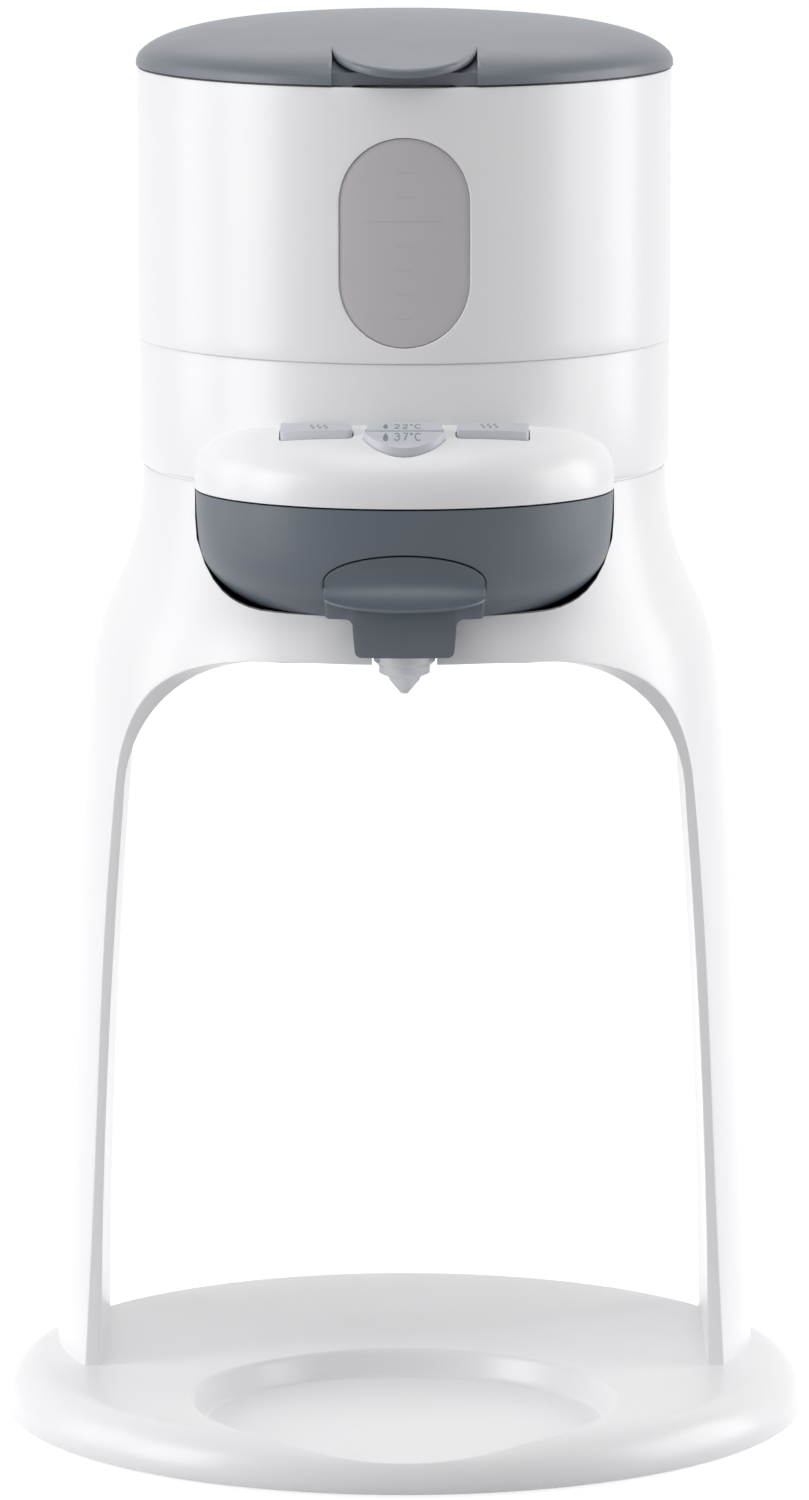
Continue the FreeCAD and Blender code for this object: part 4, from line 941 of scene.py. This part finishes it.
finishPiece(rearPanel, "whiteAbs", "root", ["rear_cover"], 40)

glandLook = {"bore": 3.4, "flange": 5.45, "neck": 4.2, "flangeDepth": 2.4, "rounds": [0.4, 0.5, 0, 0, 0, 0]}
glandLow, glandHigh = boxMm("mains_inlet")
flangeY = glandHigh.y - glandLook["flangeDepth"]
glandOutline = roundedOutline([(glandLook["bore"], glandHigh.y), (glandLook["flange"], glandHigh.y),
                               (glandLook["flange"], flangeY), (glandLook["neck"], flangeY),
                               (glandLook["neck"], glandLow.y), (glandLook["bore"], glandLow.y)],
                              glandLook["rounds"])
gland = turned("cordGland", glandOutline, 0.0, 48)
# turned so that its axis runs back along Y
gland.data.transform(Matrix.Translation((0, 0, rearLook["glandZ"]))
                     @ Matrix.Rotation(math.radians(-90), 4, "X"))
finishPiece(gland, "silicone", "root", ["mains_inlet"])


screwLook = {"radius": 3.0, "height": 2.0, "shank": 1.5, "end": 5.0, "rounds": [0, 0.7, 0, 0, 0.3, 0],
             "slotHalf": 0.35, "crossHalf": 1.5, "crossDepth": 0.9}


def screwHead(along):
    # pan head with a cross recess, its outer face at the origin and its shank running along one axis
    radius, height, shank, end = (screwLook[key] for key in ("radius", "height", "shank", "end"))
    outline = roundedOutline([(0, 0), (radius, 0), (radius, height), (shank, height), (shank, end), (0, end)],
                             screwLook["rounds"])
    head = turned("head", outline, 0.0, 40)
    thin, wide = screwLook["slotHalf"], screwLook["crossHalf"]
    carve(head, [block("slot", (-x, -y, -1), (x, y, screwLook["crossDepth"]))
                 for x, y in ((thin, wide), (wide, thin))])
    if along == "Y":
        head.data.transform(Matrix.Rotation(math.radians(90), 4, "X"))
    return head


rearScrewPlaces = [(side * rearLook["screwX"], screwY, screwZ) for side in (-1, 1)]
rearScrews = repeated("rearScrews", rearScrewPlaces, screwHead("Y"), "zincSteel")
finishPiece(rearScrews, None, "root", ["rear_screws"])
print("rear cover made")


# Under the base: rubber feet and the cover's screws

def ringPlaces(centreX, centreY, radius, degrees, height):
    # places round a ring, at these angles from the X axis
    turns = [math.radians(turn) for turn in degrees]
    return [(centreX + radius * math.cos(turn), centreY + radius * math.sin(turn), height) for turn in turns]


feetHigh = boxMm("rubber_feet")[1]
footLook = {"radius": 7.0, "round": 0.6, "topRound": 0.2, "degrees": range(30, 390, 60)}
footRadius = footLook["radius"]
footOutline = roundedOutline([(0, 0), (footRadius, 0), (footRadius, feetHigh.z), (0, feetHigh.z)],
                             [0, footLook["round"], footLook["topRound"], 0])
footShape = turned("foot", footOutline, 0.0, 48)
footPlaces = ringPlaces(0, 0, feetHigh.y - footRadius, footLook["degrees"], 0)
feet = repeated("rubberFeet", footPlaces, footShape, "silicone")
finishPiece(feet, None, "root", ["rubber_feet"])
baseScrewLow, baseScrewHigh = boxMm("base_screws")
screwPlaces = ringPlaces((baseScrewHigh.x + baseScrewLow.x) / 2, baseScrewLow.y + screwLook["radius"],
                         baseScrewHigh.x - screwLook["radius"], range(0, 240, 60), baseScrewLow.z)
baseScrews = repeated("baseScrews", screwPlaces, screwHead("Z"), "zincSteel")
finishPiece(baseScrews, None, "root", ["base_screws"])
print("feet and screws made")


# Control hood: a pillow on an oval plan in front of the drum

hoodLook = {"skin": [(0.0, 238.5), (0.0, 243.0), (1.4, 247.4), (4.6, 251.2), (9.5, 254.2), (16.0, 256.4),
                     (24.0, 257.8), (34.0, 258.6)],
            "wall": 2.2, "rows": 44, "around": 200, "drumLap": 0.15, "capGap": 0.35, "capRise": 1.5,
            "frontRise": 0.45, "riseFrom": 14.3, "riseOver": 4.8}
hoodDepth = drawerLook["halfDepth"]
hoodY = drawerLook["centreY"]


def ovalSolid(name, line, around):
    # solid through ovals that are drawn in from the hood's plan by each point's first number
    loops = []
    for inset, z in line:
        oval = roundLine(0, hoodY, hoodHalf - inset, hoodDepth - inset, around)
        loops.append([(x, y, z) for x, y in oval])
    return stacked(name, loops)


def frontRise(inset):
    # the keys' tops stand a little higher over the hood along their fronts
    return hoodLook["frontRise"] * max(0.0, min(1.0, (hoodLook["riseFrom"] - inset) / hoodLook["riseOver"]))


hoodLine = smoothThrough(hoodLook["skin"], hoodLook["rows"])
keyLine = [(inset, z + hoodLook["capRise"] + frontRise(inset)) for inset, z in hoodLine]


def keyHeight(x, y):
    # height of the keys' tops over a place in plan
    low, high = 0.0, hoodLook["skin"][-1][0]
    for step in range(30):
        inset = (low + high) / 2
        inside = (x / (hoodHalf - inset)) ** 2 + ((y - hoodY) / (hoodDepth - inset)) ** 2 < 1
        low, high = (inset, high) if inside else (low, inset)
    for (i0, z0), (i1, z1) in zip(keyLine, keyLine[1:]):
        if i0 <= inset <= i1 and i1 > i0:
            return z0 + (z1 - z0) * (inset - i0) / (i1 - i0)
    return keyLine[-1][1]


keyLook = {
    "innerRadius": 69.3, "outerRadius": 74.2, "bottom": 247.0, "lowerBottom": 245.6, "edgeRound": 0.25,
    "spans": {"left": (-30.5, -12.8), "right": (12.8, 30.5), "upper": (-9.2, 9.2)},
    "corners": {"left": (0.6, 2.6, 1.2, 0.6), "right": (2.6, 0.6, 0.6, 1.2), "upper": (0.9, 0.9, 0.5, 0.5)},
    "crescentHalf": 10.0, "crescentBack": 74.9, "crescentFront": -58.6,
}


def denser(outline, step):
    dense = []
    for a, b in zip(outline, outline[1:] + outline[:1]):
        parts = max(1, round(math.dist(a, b) / step))
        dense += [(a[0] + (b[0] - a[0]) * k / parts, a[1] + (b[1] - a[1]) * k / parts) for k in range(parts)]
    return dense


def bowArc(half, reach):
    # radius of an arc that bows out over a chord, and half of the angle that it covers
    radius = (half ** 2 + reach ** 2) / (2 * reach)
    turn = math.asin(min(1.0, half / radius))
    return radius, (turn if reach <= radius else math.pi - turn)


def keyOutline(name, grow):
    # plan of one key: a span of a ring about the drum, or the crescent in front of it
    if name != "lower":
        start, end = keyLook["spans"][name]
        inner, outer = keyLook["innerRadius"] - grow, keyLook["outerRadius"] + grow
        corners = [(start - grow, inner), (end + grow, inner), (end + grow, outer), (start - grow, outer)]
        flat = denser(roundedOutline(corners, [r + grow for r in keyLook["corners"][name]]), 0.8)
        return [(x, axisY - math.sqrt(radius ** 2 - x ** 2)) for x, radius in flat]
    half, back = keyLook["crescentHalf"] + grow, keyLook["crescentBack"] - grow
    front = keyLook["crescentFront"] - grow
    radius, turn = bowArc(half, axisY - math.sqrt(back ** 2 - half ** 2) - front)
    arcLine = roundLine(0, front + radius, radius, radius, 40, -math.pi / 2 - turn, 2 * turn)
    backX = [half - 2 * half * k / 20 for k in range(1, 20)]
    return arcLine + [(x, axisY - math.sqrt(back ** 2 - x ** 2)) for x in backX]


hood = ovalSolid("controlHood", hoodLine, hoodLook["around"])
hoodWall, drumFace = hoodLook["wall"], drumRadius - hoodLook["drumLap"]
hollow = [(hoodWall, 230.0)] + [(inset + hoodWall, z - hoodWall) for inset, z in hoodLine]
cutters = [ovalSolid("hollow", hollow, 120),
           prism("drum", roundLine(0, axisY, drumFace, drumFace, 240), 200, 300)]
keyNames = ["left", "right", "upper", "lower"]
cutters += [prism("keyHole", keyOutline(name, hoodLook["capGap"]), 240, 270) for name in keyNames]
carve(hood, cutters)
finishPiece(hood, "whiteAbs", "root", ["control_hood"], 40)
print("hood made")


# Keys: slabs that follow the hood's skin, with printed waves, drops and temperatures

for name in keyNames:
    bottom = keyLook["lowerBottom" if name == "lower" else "bottom"]
    key = prism("key_" + name, keyOutline(name, 0), bottom, 270)
    carve(key, [ovalSolid("roof", [(keyLine[0][0], 240.0)] + keyLine, 200)], "INTERSECT")
    softenEdges(key, keyLook["edgeRound"], 3, 50)
    finishPiece(key, "greyCaps", "key_" + name, ["button_" + name], 45)

glyphs = {
    "2": [[(0, 0.76), (0.1, 0.93), (0.3, 1.0), (0.5, 0.93), (0.6, 0.74), (0.52, 0.54), (0, 0), (0.62, 0)]],
    "3": [[(0.02, 0.86), (0.16, 0.97), (0.34, 1.0), (0.53, 0.9), (0.56, 0.72), (0.44, 0.57), (0.24, 0.54)],
          [(0.44, 0.57), (0.6, 0.42), (0.6, 0.2), (0.46, 0.04), (0.26, 0), (0.06, 0.08), (0, 0.22)]],
    "7": [[(0, 1), (0.6, 1), (0.22, 0)]],
    "o": [[(0.1 + 0.1 * math.cos(k), 0.88 + 0.12 * math.sin(k)) for k in range(7)]],
    "c": [[(0.4 + 0.4 * math.cos(math.radians(45 + 30 * k)), 0.5 + 0.5 * math.sin(math.radians(45 + 30 * k)))
           for k in range(10)]],
    "drop": [[(0.3, 1.0), (0.05, 0.45), (0.1, 0.12), (0.3, 0.0), (0.5, 0.12), (0.55, 0.45), (0.3, 1.0)],
             [(0.3, 0.8), (0.18, 0.4), (0.3, 0.15), (0.42, 0.4), (0.3, 0.8)], [(0.3, 0.6), (0.3, 0.3)]],
    "wave": [[(0.25 * math.sin(0.9 * k), k / 7) for k in range(8)]],
}
printLook = {"stroke": 0.34, "height": 0.05, "root": 0.1, "letter": 1.9, "tall": 2.7, "crescentIn": 2.2}
keyPrints = {
    "left": [("wave", -22.6), ("wave", -21.0), ("wave", -19.4)],
    "right": [("wave", 19.2), ("wave", 20.8), ("wave", 22.4)],
    "upper": [("drop", -5.2), ("2", -2.4), ("2", -0.4), ("o", 1.5), ("c", 2.6)],
    "lower": [("drop", -5.2), ("3", -2.4), ("7", -0.4), ("o", 1.5), ("c", 2.6)],
}


def ribbon(points, width, lift):
    # flat closed strip along a line in plan, laid on the key's top
    loops = []
    for k, (x, y) in enumerate(points):
        a, b = points[max(0, k - 1)], points[min(len(points) - 1, k + 1)]
        along = Vector((b[0] - a[0], b[1] - a[1])).normalized()
        sideX, sideY = -along.y * width / 2, along.x * width / 2
        left, right = (x + sideX, y + sideY), (x - sideX, y - sideY)
        leftZ, rightZ, root = keyHeight(*left), keyHeight(*right), printLook["root"]
        loops.append([(*left, leftZ - root), (*right, rightZ - root),
                      (*right, rightZ + lift), (*left, leftZ + lift)])
    return stacked("stroke", loops)


for name, marks in keyPrints.items():
    strokes = []
    for glyph, startX in marks:
        letter, tall = printLook["letter"], printLook["tall"]
        for line in glyphs[glyph]:
            spots = []
            for a, b in zip(line, line[1:]):
                spots += [(a[0] + (b[0] - a[0]) * j / 3, a[1] + (b[1] - a[1]) * j / 3) for j in range(3)]
            spots.append(line[-1])
            middleX = startX + letter * 0.5
            if name == "lower":
                lineY = keyLook["crescentFront"] + printLook["crescentIn"]
            else:
                middleRadius = (keyLook["innerRadius"] + keyLook["outerRadius"]) / 2
                lineY = axisY - math.sqrt(middleRadius ** 2 - middleX ** 2) - tall / 2
            strokes.append(ribbon([(startX + letter * u, lineY + tall * v) for u, v in spots],
                                  printLook["stroke"], printLook["height"]))
    marking = joined("print_" + name, strokes)
    finishPiece(marking, "printGrey", "key_" + name)
print("keys made")


# Drawer: an open tray with a shelf for the funnel's flange and a recess for the handle

handleLook = {"half": 19.7, "topZ": 226.6, "archRise": 7.0, "bottomZ": 211.3, "backY": -58.0, "lipY": -70.0,
              "lipCentreZ": 214.2, "lipSideZ": 216.3, "lipRound": 0.35, "lipOut": 1.0, "apronY": 0.9,
              "apronShare": 0.982, "apronRise": 1.2, "columns": 56, "scoopRows": 22, "scoopDepth": 1.7,
              "scoopRun": 2.4, "scoopFall": 1.3, "topDrop": 0.3, "gap": 0.45, "sideGap": 0.75,
              "stubHalf": 12.65, "stubFootHalf": 12.05, "stubBottom": 201.9, "stubBend": 208.0,
              "stubSpread": 0.1, "apronHalf": 19.35, "apronTop": 215.4, "apronForward": 1.3,
              "guardRounds": [0.0, 1.6, 3.0, 1.8, 0.8, 0.0, 0.0], "guardBack": -58.6, "edgeRound": 0.35}


def handleTop(x, grow=0.0):
    half = handleLook["half"] + grow
    spring = handleLook["topZ"] - handleLook["archRise"]
    return spring + (handleLook["archRise"] + grow) * math.sqrt(max(0.0, 1 - (x / half) ** 2))


sideLine = smoothThrough([(side, z) for side, front, z in drawerLook["skin"]], 40)
frontLine = smoothThrough([(front, z) for side, front, z in drawerLook["skin"]], 40)
trayLoops = []
for (side, z), (front, z) in zip(sideLine, frontLine):
    oval = roundLine(0, hoodY, hoodHalf - side, hoodDepth - front, 200)
    trayLoops.append([(x, y, z) for x, y in oval])
drawer = stacked("drawerTray", trayLoops)
trayWall = drawerLook["wall"]
pocketLine = [(sideLine[0][0] + trayWall, 250.0)] + [(side + trayWall, z + trayWall) for side, z in sideLine]
recessHalf = handleLook["half"] + handleLook["gap"]
archX = [recessHalf * math.sin(math.pi / 2 * k / 24) for k in range(25)]
wide = handleLook["half"] + handleLook["sideGap"]
recessOutline = mirrored([(x, handleTop(x, handleLook["gap"])) for x in archX]
                         + [(recessHalf, 218.5), (wide, 216.0), (wide, 200.0)])[1:]


def behind(y):
    return block("behind", (-90, y, 150), (90, 90, 300))


pocket = carve(ovalSolid("pocket", pocketLine, 160), [behind(drawerLook["backY"] - trayWall)])
shelfInset = drawerLook["shelfInset"]
shelfLine = roundLine(0, hoodY, hoodHalf - shelfInset, hoodDepth - shelfInset, 160)
shelf = carve(prism("shelf", shelfLine, drawerLook["flangeZ"], 250),
              [behind(drawerLook["backY"] - drawerLook["shelfBack"])])
# the tray steps in behind its front, so that it clears the opening's rim in the arch
clear = drawerLook["clear"]
inner = [(x - clear, z + (clear if z < 240 else 0)) for x, z in drawerLook["opening"]]
sillLine = [(-70, 190), (70, 190), (70, 247)] + inner + [(-x, z) for x, z in reversed(inner)] + [(-70, 247)]
sill = prism("sill", sillLine, -90, 60, "Y")
faceLine = [(bellRadius(z) + drawerLook["faceClear"], z) for z in range(195, 250, 3)]
carve(sill, [turned("bellCore", [(0, 195.0)] + faceLine + [(0, 249.0)], axisY)], "INTERSECT")
spoutHole = roundLine(0, drawerLook["spoutY"], drawerLook["spoutHole"], drawerLook["spoutHole"], 48)
carve(drawer, [behind(drawerLook["backY"]), pocket, shelf, sill,
               prism("recess", recessOutline, -90, handleLook["backY"] + drawerLook["recessBack"], "Y"),
               prism("spout", spoutHole, 190, 230)])
finishPiece(drawer, "drawerAbs", "drawer", ["drawer_shell"], 40)
print("drawer made")


# Handle: a scoop that runs out into an oval lip, over an apron and a guard in front of the spout

def drawerFace(x):
    return hoodY - hoodDepth * math.sqrt(1 - (x / hoodHalf) ** 2) + 0.2


handleLoops = []
for k in range(handleLook["columns"] + 1):
    x = handleLook["half"] * math.sin(math.pi / 2 * (2 * k / handleLook["columns"] - 1))
    share = math.sqrt(max(0.0, 1 - (x / (handleLook["half"] + 0.15)) ** 2))
    topZ, faceY = handleTop(x), drawerFace(x)
    lipY = faceY - handleLook["lipOut"] - (-handleLook["lipY"] + drawerFace(0) - handleLook["lipOut"]) * share
    lipZ = handleLook["lipSideZ"] + (handleLook["lipCentreZ"] - handleLook["lipSideZ"]) * share
    apronY = faceY - handleLook["apronY"]
    loop = [(x, handleLook["backY"], topZ), (x, faceY + 0.4, topZ)]
    rows, lipRound, topDrop = handleLook["scoopRows"], handleLook["lipRound"], handleLook["topDrop"]
    for j in range(rows + 1):
        t = j / rows
        dish = handleLook["scoopDepth"] * share * math.sin(math.pi * t)
        fall = 1 - (1 - t) ** handleLook["scoopFall"]
        loop.append((x, faceY + (lipY - faceY) * t ** handleLook["scoopRun"] + dish,
                     topZ - topDrop + (lipZ + lipRound - topZ + topDrop) * fall))
    for j in range(1, 6):
        turn = math.pi * j / 5
        loop.append((x, lipY - lipRound * 0.6 * math.sin(turn), lipZ + lipRound * math.cos(turn)))
    inX, apronZ = x * handleLook["apronShare"], handleLook["bottomZ"] + handleLook["apronRise"]
    loop += [(inX, apronY, lipZ - lipRound - 0.3), (inX, apronY, apronZ), (inX, handleLook["backY"], apronZ)]
    handleLoops.append(loop)
scoop = stacked("scoop", handleLoops)
stubHalf, stubLow = handleLook["stubHalf"], handleLook["stubBottom"]
apronHalf, apronLow = handleLook["apronHalf"], handleLook["bottomZ"]
guardSide = roundedOutline([(0.0, stubLow), (handleLook["stubFootHalf"], stubLow),
                            (stubHalf, handleLook["stubBend"]),
                            (stubHalf + handleLook["stubSpread"], apronLow),
                            (apronHalf, apronLow), (apronHalf, handleLook["apronTop"]),
                            (0.0, handleLook["apronTop"])], handleLook["guardRounds"], 6)
guardLine = guardSide[:-1] + [(-x, z) for x, z in reversed(guardSide[1:-1])]
guard = prism("guard", guardLine, -90, handleLook["guardBack"], "Y")
face = prism("face", roundLine(0, hoodY - handleLook["apronForward"], hoodHalf, hoodDepth, 240), 190, 230)
carve(guard, [face], "INTERSECT")
softenEdges(guard, handleLook["edgeRound"], 2, 50)
handle = joined("drawerHandle", [scoop, guard])
finishPiece(handle, "drawerAbs", "drawer", ["drawer_handle"], 50)
print("handle made")


# Spout: a stepped frosted nozzle under the drawer

nozzleLow, nozzleHigh = boxMm("spout_nozzle")
nozzleY = (nozzleLow.y + nozzleHigh.y) / 2
nozzleLook = {
    # radius and height of the steps, down the outside and up the bore, and how far each corner is rounded
    "mouth": [6.4, 7.55], "outside": [(7.55, 199.2), (6.3, 198.0), (6.25, 196.2), (4.0, 195.2), (3.8, 194.5),
                                      (0.9, 191.0)],
    "bore": [(0.4, 191.0), (0.4, 193.0), (3.0, 195.8), (5.1, 197.2), (5.2, 199.0), (6.4, 201.0)],
    "rounds": [0.2, 0.4, 0.3, 0.3, 0.4, 0.3, 0.2, 0.2, 0.1, 0.1, 0.2, 0.2, 0.2, 0.2], "around": 96,
}
nozzleCorners = [(radius, nozzleHigh.z) for radius in nozzleLook["mouth"]]
nozzleCorners += nozzleLook["outside"] + nozzleLook["bore"]
nozzleOutline = roundedOutline(nozzleCorners, nozzleLook["rounds"], 3)
nozzle = turned("spoutNozzle", nozzleOutline, nozzleY, nozzleLook["around"])
finishPiece(nozzle, "frostedCopolyester", "drawer", ["spout_nozzle"])
print("nozzle made")


# Lid: a dome with a finger ledge over a notch in front, and a knuckle for the hinge behind

lidLow, lidHigh = boxMm("lid")
lidRadius = lidHigh.x
lidLook = {"line": [(0.0, 0.0), (0.2, 2.0), (1.5, 3.7), (5.0, 6.0), (12.5, 8.6), (29.5, 11.1), (52.5, 12.6)],
           "height": 12.9, "wall": 2.2, "notchHalf": 17.85, "notchY": -41.9, "chordY": -32.0, "frontY": -49.2,
           "chordZ": 349.2, "frontZ": 344.5, "ledgeThick": 2.3, "knuckleHalf": 6.0, "knuckleTop": 348.6,
           "pocketTop": 352.0, "pocketBack": -29.0, "shelfRise": 1.4, "domeRound": 0.18, "knuckleRound": 0.4,
           "knuckleFront": 8.0, "knuckleCorner": 0.6, "knuckleBack": 0.4, "knuckleTurn": 2.4,
           "knuckleEye": 2.8, "pinBore": 1.56,
           # the ledge's rim, from its top face down: how far below it and how far in
           "ledgeRim": [(0.0, 1.2), (0.02, 0.6), (0.2, 0.15), (0.5, 0.0), (1.3, 0.0), (1.8, 0.15), (2.1, 0.5),
                        (2.2, 1.1)]}
lidOuter = smoothThrough([(lidRadius - inset, lidLow.z + h) for inset, h in lidLook["line"]]
                         + [(0.0, lidLow.z + lidLook["height"])], 48)
lidInner = [(r * (lidRadius - lidLook["wall"]) / lidRadius, z - (lidLook["wall"] if z > lidLow.z else 0.0))
            for r, z in lidOuter]
solidLid = turned("solidLid", lidOuter + [(0.0, lidLow.z)], axisY, 192)
dome = turned("lidDome", lidOuter + lidInner[::-1], axisY, 192)
notchHalf, notchY = lidLook["notchHalf"], lidLook["notchY"]
pocketHalf, pocketTop = notchHalf + lidLook["wall"], lidLook["pocketTop"]
pocketWall = block("pocketWall", (-pocketHalf, -60, lidLow.z),
                   (pocketHalf, notchY + lidLook["wall"], pocketTop))
carve(pocketWall, [block("shelfWall", (-pocketHalf, notchY + 2.0, lidLow.z + lidLook["shelfRise"]),
                         (pocketHalf, lidLook["pocketBack"], pocketTop))], "UNION")
carve(pocketWall, [solidLid], "INTERSECT")
carve(dome, [pocketWall], "UNION")
slope = (lidLook["chordZ"] - lidLook["frontZ"]) / (lidLook["chordY"] - lidLook["frontY"])


def ledgePlane(y):
    return lidLook["chordZ"] + slope * (y - lidLook["chordY"])


chordY = lidLook["chordY"]
# under the ledge the notch rises towards its back, by these drops below the ledge's top
notchOutline = [(-80, lidLow.z - 1), (notchY, lidLow.z - 1)]
notchOutline += [(y, ledgePlane(y) - drop) for y, drop in ((notchY, 3.2), (chordY - 1.5, 2.6), (chordY, 0.6))]
notchOutline += [(chordY, 370), (-80, 370)]
carve(dome, [prism("notch", notchOutline, -notchHalf, notchHalf, "X")])
softenEdges(dome, lidLook["domeRound"], 2, 50)
# half-moon ledge with a rounded rim, tilted along the dome
ledgeRadius, ledgeTurn = bowArc(notchHalf, chordY - lidLook["frontY"])
ledgeLoops = []
ledgeDepth = lidLook["ledgeRim"][-1][0]
for drop, inset in lidLook["ledgeRim"]:
    arcPoints = roundLine(0, lidLook["frontY"] + ledgeRadius, ledgeRadius - inset, ledgeRadius - inset, 60,
                          -math.pi / 2 - ledgeTurn, 2 * ledgeTurn)
    below = drop * lidLook["ledgeThick"] / ledgeDepth
    ledgeLoops.append([(max(-notchHalf, min(notchHalf, x)), y, ledgePlane(y) - below) for x, y in arcPoints])
ledge = stacked("ledge", ledgeLoops)
knuckleTop, corner, knuckleTurn = lidLook["knuckleTop"], lidLook["knuckleCorner"], lidLook["knuckleTurn"]
knuckleY, knuckleBack = hingeY - lidLook["knuckleFront"], hingeY + lidLook["knuckleBack"]
eye, bore = lidLook["knuckleEye"], lidLook["pinBore"]
knuckleOutline = [(knuckleY, hingeZ + corner), (knuckleY, knuckleTop - corner),
                  (knuckleY + corner, knuckleTop), (knuckleBack, knuckleTop)]
knuckleOutline += roundLine(knuckleBack, knuckleTop - knuckleTurn, knuckleTurn, knuckleTurn, 8,
                            math.pi / 2, -math.pi / 2)[1:]
knuckleOutline += roundLine(hingeY, hingeZ, eye, eye, 20, 0, -math.pi)
knuckle = prism("knuckle", knuckleOutline, -lidLook["knuckleHalf"], lidLook["knuckleHalf"], "X")
softenEdges(knuckle, lidLook["knuckleRound"], 2, 60)
carve(knuckle, [prism("pinBore", roundLine(hingeY, hingeZ, bore, bore, 32), -20, 20, "X")])
lid = joined("lidShell", [dome, ledge, knuckle])
finishPiece(lid, "slateAbs", "lid", ["lid"], 35)
print("lid made")


# Water level marks on the window

markLook = {"width": 0.3, "lift": 0.02, "root": 0.3, "lineHalf": 9.5, "tickHalf": 2.2,
            "levels": [283.0, 289.0, 295.0, 301.0, 313.0, 319.0], "line": 307.0}


def paneStrip(fromX, toX, z, width):
    loops = []
    for k in range(13):
        along = (fromX + (toX - fromX) * k / 12) / paneRadius
        loop = []
        inner, outer, half = -markLook["root"], markLook["lift"], width / 2
        for depth, height in [(inner, -half), (inner, half), (outer, half), (outer, -half)]:
            radius = paneRadius + depth
            loop.append((radius * math.sin(along), axisY - radius * math.cos(along), z + height))
        loops.append(loop)
    return stacked("strip", loops)


marks = [paneStrip(-markLook["lineHalf"], markLook["lineHalf"], markLook["line"], markLook["width"])]
marks += [paneStrip(-markLook["tickHalf"], markLook["tickHalf"], z, markLook["width"])
          for z in markLook["levels"]]
levelMarks = joined("levelMarks", marks)
finishPiece(levelMarks, "printWhite", "tank")
print("level marks made")


# Stage, lamps and camera

stageLook = {"floorSize": 16.0, "floorTone": "#CBCBCD", "floorLift": 0.86, "fill": 0.16}


def seenRays(tree):
    # 1 for what the camera sees, straight or in a gloss or through glass, otherwise 0
    rays = addNode(tree, "ShaderNodeLightPath")
    direct = addNode(tree, "ShaderNodeMath", {"operation": "MAXIMUM"},
                     {0: rays.outputs["Is Camera Ray"], 1: rays.outputs["Is Transmission Ray"]})
    return addNode(tree, "ShaderNodeMath", {"operation": "MAXIMUM", "name": "seen"},
                   {0: direct.outputs[0], 1: rays.outputs["Is Glossy Ray"]}).outputs[0]


stageHalf = stageLook["floorSize"] / 2
floorMesh = bpy.data.meshes.new("floor")
floorMesh.from_pydata([(-stageHalf, -stageHalf, 0), (stageHalf, -stageHalf, 0), (stageHalf, stageHalf, 0),
                       (-stageHalf, stageHalf, 0)], [], [(0, 1, 2, 3)])
floor = bpy.data.objects.new("floor", floorMesh)
bpy.context.scene.collection.objects.link(floor)
floorMaterial, floorShader = newMaterial("paleFloor")
floorShader.inputs["Base Color"].default_value = hexToLinear(stageLook["floorTone"])
floorShader.inputs["Roughness"].default_value = 0.9
floorShader.inputs["Emission Color"].default_value = (1, 1, 1, 1)
lift = addNode(floorMaterial.node_tree, "ShaderNodeMath",
               {"operation": "MULTIPLY", 1: stageLook["floorLift"]}, {0: seenRays(floorMaterial.node_tree)})
floorMaterial.node_tree.links.new(lift.outputs[0], floorShader.inputs["Emission Strength"])
floorMesh.materials.append(floorMaterial)


def softbox(name, place, target, width, height, watts):
    lamp = bpy.data.lights.new(name, "AREA")
    lamp.shape = "RECTANGLE"
    lamp.size = width
    lamp.size_y = height
    lamp.energy = watts
    holder = bpy.data.objects.new(name, lamp)
    bpy.context.scene.collection.objects.link(holder)
    direction = Vector(target) - Vector(place)
    holder.matrix_world = (Matrix.Translation(Vector(place))
                           @ direction.to_track_quat("-Z", "Y").to_matrix().to_4x4())
    holder.visible_camera = False


middle = (0, 0.02, 0.2)
lampLook = {
    "leftBox": dict(place=(-1.4, -0.53, 0.45), width=0.7, height=1.2, watts=11.5),
    "leftRearBox": dict(place=(-1.48, 0.26, 0.45), width=0.6, height=1.2, watts=4.6),
    "rightBox": dict(place=(1.48, -0.26, 0.45), width=0.6, height=1.2, watts=7.2),
    "rightRearBox": dict(place=(1.45, 0.39, 0.45), width=0.6, height=1.2, watts=8.0),
    "topBox": dict(place=(0, -0.45, 1.65), width=1.2, height=1.2, watts=9.5),
    "rearTopBox": dict(place=(0, 0.9, 1.4), width=1.2, height=1.0, watts=5.0),
}
for name, look in lampLook.items():
    softbox(name, look["place"], middle, look["width"], look["height"], look["watts"])

world = bpy.data.worlds.new("studio")
bpy.context.scene.world = world
world.use_nodes = True
background = world.node_tree.nodes["Background"]
strength = addNode(world.node_tree, "ShaderNodeMapRange", {"To Min": stageLook["fill"], "To Max": 1.0},
                   {"Value": seenRays(world.node_tree)})
world.node_tree.links.new(strength.outputs["Result"], background.inputs["Strength"])
background.inputs["Color"].default_value = (1, 1, 1, 1)

cameraLook = {"place": (0.0, -2.196, 0.523), "pitchDown": 9.16,
              "focalPixels": 8820, "frameHeight": 1500, "sensor": 36.0}
cameraData = bpy.data.cameras.new("photoCamera")
cameraData.sensor_fit = "VERTICAL"
cameraData.sensor_height = cameraLook["sensor"]
cameraData.lens = cameraLook["focalPixels"] * cameraLook["sensor"] / cameraLook["frameHeight"]
cameraData.clip_start = 0.05
camera = bpy.data.objects.new("photoCamera", cameraData)
camera.rotation_euler = (math.radians(90 - cameraLook["pitchDown"]), 0, 0)
camera.location = cameraLook["place"]
bpy.context.scene.collection.objects.link(camera)
bpy.context.scene.camera = camera
bpy.context.scene.view_settings.view_transform = "Standard"
print("stage, lamps and camera set")
